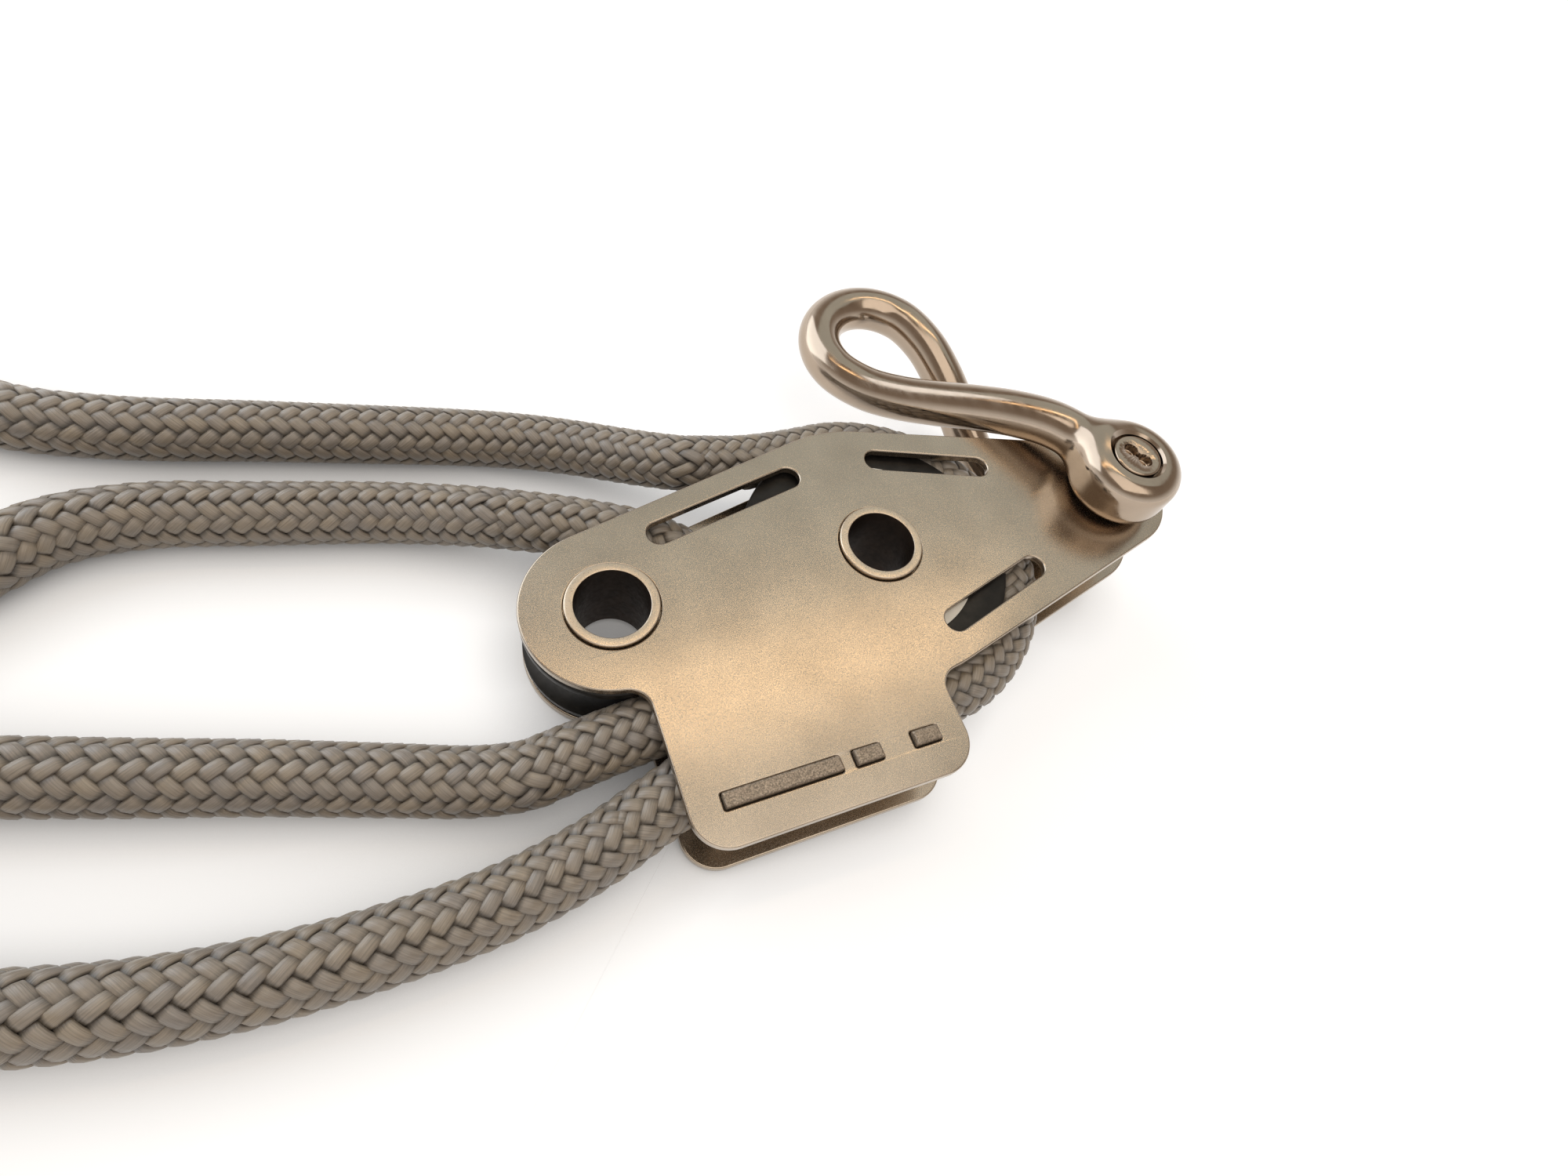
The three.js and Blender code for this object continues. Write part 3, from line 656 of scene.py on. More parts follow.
class ROPEBLOCK_OT_axles(bpy.types.Operator):
    """Make the hollow axles with rolled lips"""

    bl_idname = "ropeblock.axles"
    bl_label = "Hollow Axles"

    def execute(self, context):
        sizes = context.scene.rope_block_sizes
        finishes = context.scene.rope_block_finishes
        rim = satin_metal("turned steel", finishes.rim, 0.3, 3800, 8e-6)
        # The bore's material is near-black: painted shade inside the hollow axle.
        painted_shade = dark_metal("stained bore", finishes.painted_shade, 0.45, 0.7)
        top = sizes.stack / 2 + sizes.axle_proud
        inner = sizes.stack / 2 - sizes.plate - sizes.clearance
        lip = 0.0002
        profile = rounded([
            (sizes.bore, -top, lip), (sizes.axle, -top, lip), (sizes.axle, -inner, 0),
            (sizes.axle_shoulder, -inner, 0), (sizes.axle_shoulder, inner, 0), (sizes.axle, inner, 0),
            (sizes.axle, top, lip), (sizes.bore, top, lip)])
        for name, x in (("small_axle", 0), ("big_axle", BIG_X)):
            piece = turned("hollow_" + name, profile, BLOCK @ Matrix.Translation((x, 0, 0)), 128)
            piece.data.materials.append(rim)
            piece.data.materials.append(painted_shade)
            centre = BLOCK @ Vector((x, 0, 0))
            # Faces inside the bore take the painted-shade material.
            for face in piece.data.polygons:
                spoke = face.center - centre
                out = (spoke - AXIS * spoke.dot(AXIS)).length
                face.material_index = int(out < sizes.bore + lip / 3)
            flat_normals(piece)
            finish(piece, rim, "block", "axle_steel", name)
        return {"FINISHED"}


def sheave_profile(sizes, rope, bore, flange, turn):
    """Outline of a sheave: flat cheeks, rounded flanges and a round groove."""
    half = sizes.sheave_width / 2
    groove = rope.radius + rope.groove
    wide = math.acos((turn - flange) / groove)
    profile = rounded([(bore, -half, 0.0002), (flange, -half, 0.0004), (flange, half, 0.0004),
                       (bore, half, 0.0002)], 3)
    lower = [p for p in profile if p[1] < 0]
    upper = [p for p in profile if p[1] >= 0]
    curve = [(turn - groove * math.cos(a), groove * math.sin(a))
             for a in (-wide + 2 * wide * i / 24 for i in range(25))]
    return lower + curve + upper


class ROPEBLOCK_OT_sheaves(bpy.types.Operator):
    """Make both sheaves with their bush, bearing and washers"""

    bl_idname = "ropeblock.sheaves"
    bl_label = "Sheaves and Bearings"

    def execute(self, context):
        sizes = context.scene.rope_block_sizes
        rope = context.scene.rope_block_rope
        finishes = context.scene.rope_block_finishes
        anodised = dark_metal("black anodised", finishes.anodised, 0.38, 0.55)
        bronze = satin_metal("sintered bronze", finishes.bronze, 0.42, 4200)
        bright = polished_metal("ground steel", finishes.polished)
        acetal = plastic("natural acetal", finishes.acetal, 0.42, 3000)
        gap = sizes.clearance
        half = sizes.sheave_width / 2
        running = sizes.axle_shoulder + gap
        bush = running + sizes.bush
        inner_top = running + sizes.race
        pitch = inner_top + 0.0011
        outer_in = 2 * pitch - inner_top
        outer_out = outer_in + sizes.race
        big = BLOCK @ Matrix.Translation((BIG_X, 0, 0))

        def tube(inner, outer, low, high, edge=0.00015):
            return rounded([(inner, low, edge), (outer, low, edge), (outer, high, edge),
                            (inner, high, edge)], 3)

        def race(wall, grooved):
            deep = sizes.ball + 0.0002
            side = 1 if grooved < pitch else -1
            wide = math.acos((pitch - grooved) * side / deep)
            curve = [(pitch - side * deep * math.cos(a), deep * math.sin(a))
                     for a in (-wide + 2 * wide * i / 12 for i in range(13))]
            return [(wall, -half), (grooved, -half), *curve, (grooved, half), (wall, half)]

        small = turned("grooved_small_sheave", sheave_profile(
            sizes, rope, bush + gap, sizes.small_flange, rope.small_turn), BLOCK, 128)
        finish(small, anodised, "small_sheave", "sheave_anodised", "small_sheave")
        large = turned("grooved_big_sheave", sheave_profile(
            sizes, rope, outer_out + gap, sizes.big_flange, rope.big_turn), big, 144)
        finish(large, anodised, "big_sheave", "sheave_anodised", "big_sheave")
        finish(turned("bronze_bush", tube(running, bush, -half, half), BLOCK), bronze,
               "small_sheave", "bush_bronze", "small_sheave_bush")
        finish(turned("ground_inner_race", race(running, inner_top), big), bright,
               "block", "bearing_steel", "bearing_inner_race")
        finish(turned("ground_outer_race", race(outer_out, outer_in), big), bright,
               "big_sheave", "bearing_steel", "bearing_outer_race")
        low = sizes.stack / 2 - sizes.plate - gap
        for size, place, outer in (("small", BLOCK, sizes.small_washer), ("big", big, sizes.big_washer)):
            for side, bottom in (("back", -low), ("front", low - sizes.washer)):
                ring = tube(running, outer, bottom, bottom + sizes.washer, 0.00008)
                node = f"{size}_washer_{side}"
                finish(turned("thrust_" + node, ring, place), acetal,
                       "block", "washer_plastic", node)
        self.ball_ring(sizes, big, pitch, bright, bronze)
        return {"FINISHED"}

    def ball_ring(self, sizes, place, pitch, bright, bronze):
        """The balls, and the cage that keeps them apart."""
        steps = 24
        angles = [math.pi * i / steps for i in range(steps + 1)]
        outline = [(sizes.ball * math.sin(a), -sizes.ball * math.cos(a)) for a in angles]
        angles = [2 * math.pi * i / sizes.balls for i in range(sizes.balls)]
        spots = [place @ Matrix.Translation((pitch * math.cos(a), pitch * math.sin(a), 0))
                 for a in angles]
        for number, spot in enumerate(spots, 1):
            ball = turned(f"ground_ball_{number}", outline, spot, 32)
            finish(ball, bright, "bearing_cage", "bearing_steel", f"bearing_ball_{number}")
        wall, half = 0.0004, 0.0025
        cage = turned("stamped_cage", rounded([
            (pitch - wall, -half, 0.0001), (pitch + wall, -half, 0.0001),
            (pitch + wall, half, 0.0001), (pitch - wall, half, 0.0001)], 2), place, 132)
        pocket = [(x * 1.12, y * 1.12) for x, y in outline]
        for spot in spots:
            cut(cage, turned("pocket", pocket, spot, 24))
        tidy_mesh(cage.data)
        cage.data.materials.clear()
        finish(cage, bronze, "bearing_cage", "cage_brass", "bearing_cage")


class ROPEBLOCK_OT_nose_spacer(bpy.types.Operator):
    """Make the tube that keeps the plates apart round the shackle pin"""

    bl_idname = "ropeblock.nose_spacer"
    bl_label = "Nose Spacer"

    def execute(self, context):
        sizes = context.scene.rope_block_sizes
        shackle = context.scene.rope_block_shackle
        steel = satin_metal("spacer steel", context.scene.rope_block_finishes.steel, 0.3)
        inner = shackle.pin + sizes.clearance
        top = sizes.stack / 2 - sizes.plate - sizes.clearance
        edge = 0.0002
        profile = rounded([(inner, -top, edge), (inner + sizes.spacer, -top, edge),
                           (inner + sizes.spacer, top, edge), (inner, top, edge)], 3)
        piece = turned("turned_nose_spacer", profile, BLOCK @ Matrix.Translation((PIN_X, 0, 0)))
        finish(piece, steel, "block", "plate_steel", "nose_spacer")
        return {"FINISHED"}


# ---------------------------------------------------------------- rope guide


class ROPEBLOCK_OT_rope_guide(bpy.types.Operator):
    """Make the cast rope guide with its teeth and lugs"""

    bl_idname = "ropeblock.rope_guide"
    bl_label = "Rope Guide"

    left, right = 0.0061, 0.0410
    bottom, top = -0.0352, -0.03095
    lead_in, drop = 0.0050, 0.0018
    tooth, tooth_pitch = 0.0007, 0.0030

    def outline(self):
        """Side view of the bar: flat below, toothed above, with a sloped lead-in."""
        points = [(self.left, self.bottom), (self.right, self.bottom), (self.right, self.top)]
        teeth = int((self.right - self.left - self.lead_in) / self.tooth_pitch)
        for i in range(teeth):
            x = self.right - i * self.tooth_pitch
            points.append((x - 0.7 * self.tooth_pitch, self.top - self.tooth))
            points.append((x - self.tooth_pitch, self.top))
        points.append((self.left + self.lead_in / 2, self.top - self.drop / 2))
        points.append((self.left, self.top - self.drop))
        return points

    def execute(self, context):
        sizes = context.scene.rope_block_sizes
        inside = sizes.stack / 2 - sizes.plate - sizes.clearance
        outside = sizes.stack / 2 + LUG_PROUD
        bar = slab("cast_rope_guide", self.outline(), [], -inside, inside, 0.0001, None)
        bar.modifiers.clear()
        lugs = []
        for left, right in LUG_SPANS:
            low, high = LUG_Y - LUG_WIDTH / 2, LUG_Y + LUG_WIDTH / 2
            box = [(left, low), (right, low), (right, high), (left, high)]
            lugs.append(slab("lug", box, [], -outside, outside, 0.0001, None))
        joined = bmesh.new()
        for shape in (bar, *lugs):
            joined.from_mesh(shape.data)
        joined.to_mesh(bar.data)
        joined.free()
        for lug in lugs:
            bpy.data.objects.remove(lug)
        remesh = bar.modifiers.new("Skin", "REMESH")
        remesh.mode = "VOXEL"
        remesh.voxel_size = 0.0002
        smooth = bar.modifiers.new("Soften", "SMOOTH")
        smooth.factor = 0.5
        smooth.iterations = 3
        apply_modifiers(bar)
        normals = [vertex.normal.copy() for vertex in bar.data.vertices]
        for vertex, normal in zip(bar.data.vertices, normals):
            rough = noise.fractal(vertex.co * 1400, 0.8, 2.1, 3)
            vertex.co += normal * rough * 0.00003
        bar.data.transform(BLOCK)
        bar.data.polygons.foreach_set("use_smooth", [True] * len(bar.data.polygons))
        bar.data.materials.clear()
        cast = cast_metal("cast steel", context.scene.rope_block_finishes.cast)
        finish(bar, cast, "block", "guide_cast", "rope_guide")
        return {"FINISHED"}


# ---------------------------------------------------------------- shackle


def wire_route(shackle, sizes):
    """The wire from the upper eye, round the bow, to the lower eye, in the shackle's frame."""
    height = sizes.stack / 2 + shackle.eye_gap + shackle.eye_height / 2
    points = [(0.4 * shackle.eye, 0, height), (0.7 * shackle.eye, 0, height)]
    steps = 7
    for i in range(steps):
        t = i / steps
        twist = t * t * (3 - 2 * t)
        points.append((shackle.straight + (shackle.reach - shackle.straight) * t,
                       shackle.bow * twist, height * (1 - twist)))
    bow = [(shackle.reach + x, y, 0) for x, y in
           arc(0, 0, shackle.bow, math.pi / 2, -math.pi / 2, math.radians(20))]
    return points + bow + [(x, -y, -z) for x, y, z in reversed(points)]


def shackle_skin(points, line, shackle, sizes):
    """Distance from each point to the forged shackle's surface, and the way outwards."""
    tree = KDTree(len(line))
    for i, p in enumerate(line):
        tree.insert(p, i)
    tree.balance()
    near = np.array([tree.find(p)[1] for p in points])
    best = np.full(len(points), 1e9)
    foot = np.zeros_like(points)
    for shift in (-1, 0):
        a = line[np.clip(near + shift, 0, len(line) - 2)]
        b = line[np.clip(near + shift, 0, len(line) - 2) + 1]
        t = np.clip(((points - a) * (b - a)).sum(1) / ((b - a) ** 2).sum(1), 0, 1)
        q = a + t[:, None] * (b - a)
        d = np.linalg.norm(points - q, axis=1)
        closer = d < best
        best[closer] = d[closer]
        foot[closer] = q[closer]
    total = best - shackle.wire
    way = (points - foot) / np.maximum(best, 1e-9)[:, None]
    height = sizes.stack / 2 + shackle.eye_gap + shackle.eye_height / 2
    for z in (height, -height):
        rise = points[:, 2] - z
        out = np.hypot(points[:, 0], points[:, 1])
        q = np.stack([out - (shackle.eye - shackle.eye_round),
                      np.abs(rise) - (shackle.eye_height / 2 - shackle.eye_round)], axis=1)
        over = np.maximum(q, 0)
        far = np.linalg.norm(over, axis=1)
        d = far + np.minimum(q.max(axis=1), 0) - shackle.eye_round
        inside = far < 1e-9
        over[inside] = np.where(q[inside, :1] > q[inside, 1:], [1, 0], [0, 1])
        over /= np.linalg.norm(over, axis=1)[:, None]
        spoke = points[:, :2] / np.maximum(out, 1e-9)[:, None]
        eye_way = np.column_stack([spoke * over[:, :1], over[:, 1] * np.sign(rise)])
        h = np.maximum(shackle.blend - np.abs(total - d), 0) / shackle.blend
        share = np.where(d < total, 1 - h / 2, h / 2)
        total = np.minimum(total, d) - h * h * shackle.blend / 4
        way = way * (1 - share)[:, None] + eye_way * share[:, None]
    return total, way / np.linalg.norm(way, axis=1)[:, None]


class ROPEBLOCK_OT_shackle(bpy.types.Operator):
    """Make the forged twisted shackle and its flush-headed pin"""

    bl_idname = "ropeblock.shackle"
    bl_label = "Twisted Shackle"

    def execute(self, context):
        sizes = context.scene.rope_block_sizes
        shackle = context.scene.rope_block_shackle
        polished = polished_metal("polished steel", context.scene.rope_block_finishes.polished)
        place = (BLOCK @ Matrix.Translation((PIN_X, 0, 0)) @ Matrix.Rotation(shackle.swing, 4, "Z"))
        bow = self.forged_bow(shackle, sizes)
        bow.data.transform(place)
        finish(bow, polished, "shackle", "shackle_polished", "shackle_bow")
        pin = self.flush_pin(shackle, sizes)
        pin.data.transform(place)
        finish(pin, polished, "shackle_pin", "shackle_polished", "shackle_pin")
        return {"FINISHED"}

    def forged_bow(self, shackle, sizes):
        """Wire and eyes in one skin with forged fillets, then bored for the pin."""
        line = smooth_route(wire_route(shackle, sizes), 0.00012)
        coarse = line[::10]
        steps = len(coarse)
        around = 24
        verts = rings(coarse, *frames_along(coarse), shackle.wire, around).reshape(-1, 3)
        faces = []
        for start in range(0, (steps - 1) * around, around):
            for k in range(around):
                m = (k + 1) % around
                faces.append((start + k, start + m, start + around + m, start + around + k))
        faces += [tuple(range(around)), tuple(range((steps - 1) * around, steps * around))]
        bow = mesh_object("forged_shackle_bow", verts, faces)
        half = sizes.stack / 2 + shackle.eye_gap
        top = half + shackle.eye_height
        for low, high in ((half, top), (-top, -half)):
            profile = rounded([(0, low, 0), (shackle.eye, low, shackle.eye_round),
                               (shackle.eye, high, shackle.eye_round), (0, high, 0)], 6)
            eye = turned("eye", profile, None, 48)
            join = bow.modifiers.new("Eye", "BOOLEAN")
            join.operation = "UNION"
            join.object = eye
            apply_modifiers(bow)
            bpy.data.objects.remove(eye)
        remesh = bow.modifiers.new("Skin", "REMESH")
        remesh.mode = "VOXEL"
        remesh.voxel_size = 0.00042
        smooth = bow.modifiers.new("Soften", "SMOOTH")
        smooth.iterations = 12
        apply_modifiers(bow)
        count = len(bow.data.vertices)
        points = np.empty(count * 3)
        bow.data.vertices.foreach_get("co", points)
        points = points.reshape(-1, 3)
        for _ in range(3):
            distance, way = shackle_skin(points, line, shackle, sizes)
            points -= way * distance[:, None]
        bow.data.vertices.foreach_set("co", points.ravel())
        bow.data.update()
        chamfer = 0.0004
        seat_low = top - shackle.head_depth
        bore = shackle.pin + sizes.clearance
        reach = top + 0.001
        cutter = turned("bore", [
            (0, -reach), (bore + chamfer + 0.001, -reach), (bore, -top + chamfer), (bore, seat_low),
            (shackle.seat, seat_low), (shackle.seat, top - chamfer),
            (shackle.seat + chamfer + 0.001, reach), (0, reach)], None, 96)
        cut(bow, cutter)
        mesh = bow.data
        mesh.materials.clear()
        mesh.polygons.foreach_set("use_smooth", [True] * len(mesh.polygons))
        mesh.set_sharp_from_angle(angle=math.radians(40))
        return bow

    def flush_pin(self, shackle, sizes):
        """The pin, with a driving recess of two joined lobes in its head."""
        top = sizes.stack / 2 + shackle.eye_gap + shackle.eye_height - 0.0002
        low = -top
        edge = 0.00035
        pin = turned("flush_shackle_pin", rounded([
            (0, low, 0), (shackle.pin, low, edge), (shackle.pin, top - shackle.head_depth, 0),
            (shackle.head, top - shackle.head_depth, 0), (shackle.head, top, edge), (0, top, 0)], 4),
            None, 96)
        lobe, reach, depth = 0.0013, 0.0015, 0.0016
        outline = (arc(reach, 0, lobe, math.radians(-150), math.radians(150), math.radians(12))
                   + arc(-reach, 0, lobe, math.radians(30), math.radians(330), math.radians(12)))
        recess = slab("recess", outline, [], top - depth, top + depth, 0.0002, None)
        recess.modifiers.clear()
        cut(pin, recess)
        pin.data.materials.clear()
        bevel = pin.modifiers.new("Soft edge", "BEVEL")
        bevel.width = 0.00012
        bevel.segments = 2
        bevel.limit_method = "ANGLE"
        bevel.angle_limit = math.radians(40)
        bevel.harden_normals = True
        pin.data.polygons.foreach_set("use_smooth", [True] * len(pin.data.polygons))
        apply_modifiers(pin)
        pin.data.set_sharp_from_angle(angle=math.radians(40))
        return pin


# ---------------------------------------------------------------- rope


def smooth_route(points, spacing):
    """A centripetal spline through the points, as evenly spaced points."""
    p = np.array(points, dtype=float)
    p = np.vstack([2 * p[0] - p[1], p, 2 * p[-1] - p[-2]])
    dense = []
    for a, b, c, d in zip(p[:-3], p[1:-2], p[2:-1], p[3:]):
        t0, t1, t2 = (np.sqrt(np.linalg.norm(v)) for v in (b - a, c - b, d - c))
        m1 = ((b - a) / t0 - (c - a) / (t0 + t1) + (c - b) / t1) * t1
        m2 = ((c - b) / t1 - (d - b) / (t1 + t2) + (d - c) / t2) * t1
        t = np.linspace(0, 1, 60, endpoint=False)[:, None]
        dense.append(b + m1 * t + (3 * (c - b) - 2 * m1 - m2) * t ** 2 + (2 * (b - c) + m1 + m2) * t ** 3)
    dense = np.vstack(dense + [p[-2:-1]])
    return resample(dense, spacing)


def resample(dense, spacing):
    """Points at an even spacing along a dense line, both ends kept."""
    run = distances(dense)
    count = max(2, round(run[-1] / spacing))
    even = np.linspace(0, run[-1], count + 1)
    return np.column_stack([np.interp(even, run, dense[:, i]) for i in range(3)])


def distances(line):
    """Distance along a line at each of its points."""
    return np.concatenate([[0], np.cumsum(np.linalg.norm(np.diff(line, axis=0), axis=1))])


def frames_along(line):
    """Two directions across the line at each point, turning as little as possible."""
    tangents = np.gradient(line, axis=0)
    tangents /= np.linalg.norm(tangents, axis=1)[:, None]
    normals = np.empty_like(tangents)
    start = np.cross(tangents[0], (0.0, 0.0, 1.0))
    normals[0] = start / np.linalg.norm(start)
    for i in range(1, len(line)):
        n = normals[i - 1] - tangents[i] * np.dot(normals[i - 1], tangents[i])
        normals[i] = n / np.linalg.norm(n)
    return normals, np.cross(tangents, normals)


def rings(line, normals, sides, radius, count):
    """Circles of points round a line, as an array of (circle, point, coordinate)."""
    angles = np.linspace(0, 2 * math.pi, count, endpoint=False)
    across = np.cos(angles)[None, :, None] * normals[:, None]
    across = across + np.sin(angles)[None, :, None] * sides[:, None]
    return line[:, None] + across * radius


def in_block(points):
    """Points drawn in the block's frame, at mid height, as points in the part's frame."""
    return [tuple(BLOCK @ Vector((x, y, 0))) for x, y in points]


def onward(end, before, steps):
    """Points that run straight on past a route's end."""
    way = (Vector(end) - Vector(before)).normalized()
    return [tuple(Vector(end) + way * step) for step in steps]


class Rope:
    """The whole rope as one line: leg, small turn, bight, big turn, tail and coil."""

    spacing = 0.0007
    swing = 0.00052
    crossing_sharpness = 0.34
    yarn_flatness = 0.75
    yarn_sag = 60
    yarn_section = 8
    core_sides = 16

    def __init__(self, sizes):
        self.sizes = sizes
        deg = math.radians
        small = in_block(
            [(-0.0105, 0.0231), (-0.0018, 0.0197)]
            + arc(0, 0, sizes.small_turn, deg(64), deg(-84), deg(12.01))
            + [(-0.006, -0.0177), (-0.0136, -0.0186)])
        big = in_block(
            [(0.0236, 0.0273), (0.030, 0.026), (0.037, 0.02545)]
            + arc(BIG_X, 0, sizes.big_turn, deg(96), deg(-90), deg(12.01))
            + [(0.032, -0.0256), (0.020, -0.0256), (0.0125, -0.0256), (0.008, -0.02615),
               (0.004, -0.02715), (-0.0005, -0.0286), (-0.0061, -0.0305)])
        straight = (0.0003, 0.003)
        leg = onward(small[-1], small[-2], straight) + ANCHOR_LEG
        bight = (onward(big[0], big[1], straight) + BIGHT
                 + onward(small[0], small[1], straight)[::-1])
        tail = onward(big[-1], big[-2], straight) + TAIL + self.coil()
        parts = [leg[::-1], small[::-1], bight[::-1], big, tail]
        self.points = [p for part in parts for p in part]
        line = smooth_route(self.points, 0.0001)
        run = distances(line)
        marks = [self.nearest(line, run, p) for p in (small[-1], small[0], big[0], big[-1])]
        self.spans = list(zip([0, *marks], [*marks, run[-1]]))
        self.exits = {"leg": small[-1], "bight": big[0], "tail": big[-1]}
        count = round(run[-1] / self.spacing)
        self.run = np.linspace(0, run[-1], count + 1)
        self.line = np.column_stack([np.interp(self.run, run, line[:, i]) for i in range(3)])
        self.normals, self.sides = frames_along(self.line)

    @staticmethod
    def nearest(line, run, point):
        return float(run[np.argmin(np.linalg.norm(line - np.array(point), axis=1))])

    def coil(self):
        """Turns on each other, entered along a tangent and ending with part of a turn on top."""
        sizes = self.sizes
        enter, end = -60, -1020
        rise = 2 * LAY - 0.0001
        ramp_start = 300
        points = []
        centre = (sizes.coil_x, sizes.coil_y)
        tangent = math.radians(enter)
        for back in (0.022, 0.011):
            points.append((
                centre[0] + sizes.coil_radius * math.cos(tangent) - back * math.sin(tangent),
                centre[1] + sizes.coil_radius * math.sin(tangent) + back * math.cos(tangent), LAY))
        for angle in range(enter, end - 1, -20):
            turns, part = divmod(enter - angle, 360)
            climb = max(0.0, (part - ramp_start) / (360 - ramp_start))
            z = LAY + rise * (turns + climb * climb * (3 - 2 * climb))
            a = math.radians(angle)
            points.append((centre[0] + sizes.coil_radius * math.cos(a),
                           centre[1] + sizes.coil_radius * math.sin(a), z))
        return points

    def cut_out(self, first, last):
        """Indices of the line's points between two distances along it."""
        return np.arange(np.searchsorted(self.run, first), np.searchsorted(self.run, last) + 1)

    def braid(self, name, first, last, coarse_from=None):
        """Interlaced yarns over a core, between two distances along the rope."""
        sizes = self.sizes
        index = self.cut_out(first, min(last, self.run[-1]))
        index = index[index < len(self.run)]
        if coarse_from is not None:
            fine = index[self.run[index] < coarse_from]
            rest = index[self.run[index] >= coarse_from]
            index = np.concatenate([fine, rest[::2]])
        run = self.run[index]
        line, normals, sides = self.line[index], self.normals[index], self.sides[index]
        tangents = np.cross(normals, sides)
        hand = sizes.carriers // 2
        lead = hand * sizes.pitch
        slant = math.atan2(2 * math.pi * sizes.radius, lead)
        section = self.yarn_section
        around = np.linspace(0, 2 * math.pi, section, endpoint=False)
        middle = sizes.radius - self.swing - sizes.yarn_height
        verts, faces, uvs, lifts, slots = [], [], [], [], []
        base = 0
        count = len(run)
        for carrier in range(sizes.carriers):
            way = 1 if carrier < hand else -1
            number = carrier % hand
            angle = 2 * math.pi * number / hand + way * 2 * math.pi * run / lead
            crossing = 2 * number + way * 2 * hand * run / lead
            wave = np.cos(math.pi * (crossing - 0.5) / 2) * way
            wave = np.sign(wave) * np.abs(wave) ** self.crossing_sharpness
            radial = np.cos(angle)[:, None] * normals + np.sin(angle)[:, None] * sides
            round_way = -np.sin(angle)[:, None] * normals + np.cos(angle)[:, None] * sides
            across = math.cos(slant) * round_way - way * math.sin(slant) * tangents
            centre = line + radial * (middle + self.swing * wave)[:, None]
            x = np.sign(np.cos(around)) * np.abs(np.cos(around)) ** self.yarn_flatness * sizes.yarn
            y = np.sin(around) * sizes.yarn_height - x ** 2 * self.yarn_sag
            ring = centre[:, None] + across[:, None] * x[None, :, None] + radial[:, None] * y[None, :, None]
            verts.append(ring.reshape(-1, 3))
            faces.append(strip_faces(base, count, section))
            tag = np.repeat(run / MM, section).reshape(count, section)
            uvs.append(np.stack([tag, np.tile(carrier + 0.9 * np.arange(section) / section,
                                              (count, 1))], axis=2).reshape(-1, 2))
            # Each yarn's rise goes into the lift map, where the yarn material paints shade as the yarn
            # dives under.
            lifts.append(np.repeat(wave, section))
            slots.append(np.zeros(len(faces[-1]), dtype=np.int32))
            base += count * section
        # The core tube fills the gaps between the yarns; its near-black colour is painted shade.
        step = index[::3] if len(index) % 3 == 1 else np.append(index[::3], index[-1])
        core = rings(self.line[step], self.normals[step], self.sides[step],
                     middle - self.swing / 2, self.core_sides).reshape(-1, 3)
        verts.append(core)
        faces.append(strip_faces(base, len(step), self.core_sides))
        uvs.append(np.zeros((len(core), 2)))
        lifts.append(np.zeros(len(core)))
        slots.append(np.ones(len(faces[-1]), dtype=np.int32))
        lift = np.concatenate(lifts)
        maps = {"yarn": np.vstack(uvs), "lift": np.stack([lift, lift], axis=1)}
        return quad_object(name, np.vstack(verts), np.vstack(faces), maps, np.concatenate(slots))


def strip_faces(base, count, section):
    """Quads of a closed strip of rings, with both ends closed."""
    i, k = np.meshgrid(np.arange(count - 1), np.arange(section), indexing="ij")
    m = (k + 1) % section
    walls = np.stack([i * section + k, i * section + m, (i + 1) * section + m,
                      (i + 1) * section + k], axis=2).reshape(-1, 4)
    ends = []
    last = (count - 1) * section
    for k in range(1, section // 2):
        ends.append([k - 1, section - k, section - k - 1, k] if k > 1 else
                    [0, section - 1, section - 2, 1])
    lids = np.array(ends)
    return base + np.vstack([walls, lids, last + lids[:, ::-1]])


def quad_object(name, verts, faces, maps, slots):
    """A mesh object made of quads only, with its maps of the yarns and material slots."""
    mesh = bpy.data.meshes.new(name)
    mesh.vertices.add(len(verts))
    mesh.vertices.foreach_set("co", verts.astype(np.float32).ravel())
    mesh.loops.add(faces.size)
    mesh.loops.foreach_set("vertex_index", faces.astype(np.int32).ravel())
    mesh.polygons.add(len(faces))
    mesh.polygons.foreach_set("loop_start", np.arange(0, faces.size, 4, dtype=np.int32))
    mesh.polygons.foreach_set("material_index", slots)
    mesh.polygons.foreach_set("use_smooth", np.ones(len(faces), dtype=bool))
    mesh.update(calc_edges=True)
    for label, uvs in maps.items():
        layer = mesh.uv_layers.new(name=label)
        layer.data.foreach_set("uv", uvs[faces.ravel()].astype(np.float32).ravel())
    mesh.validate()
    piece = bpy.data.objects.new(name, mesh)
    bpy.context.scene.collection.objects.link(piece)
    return piece


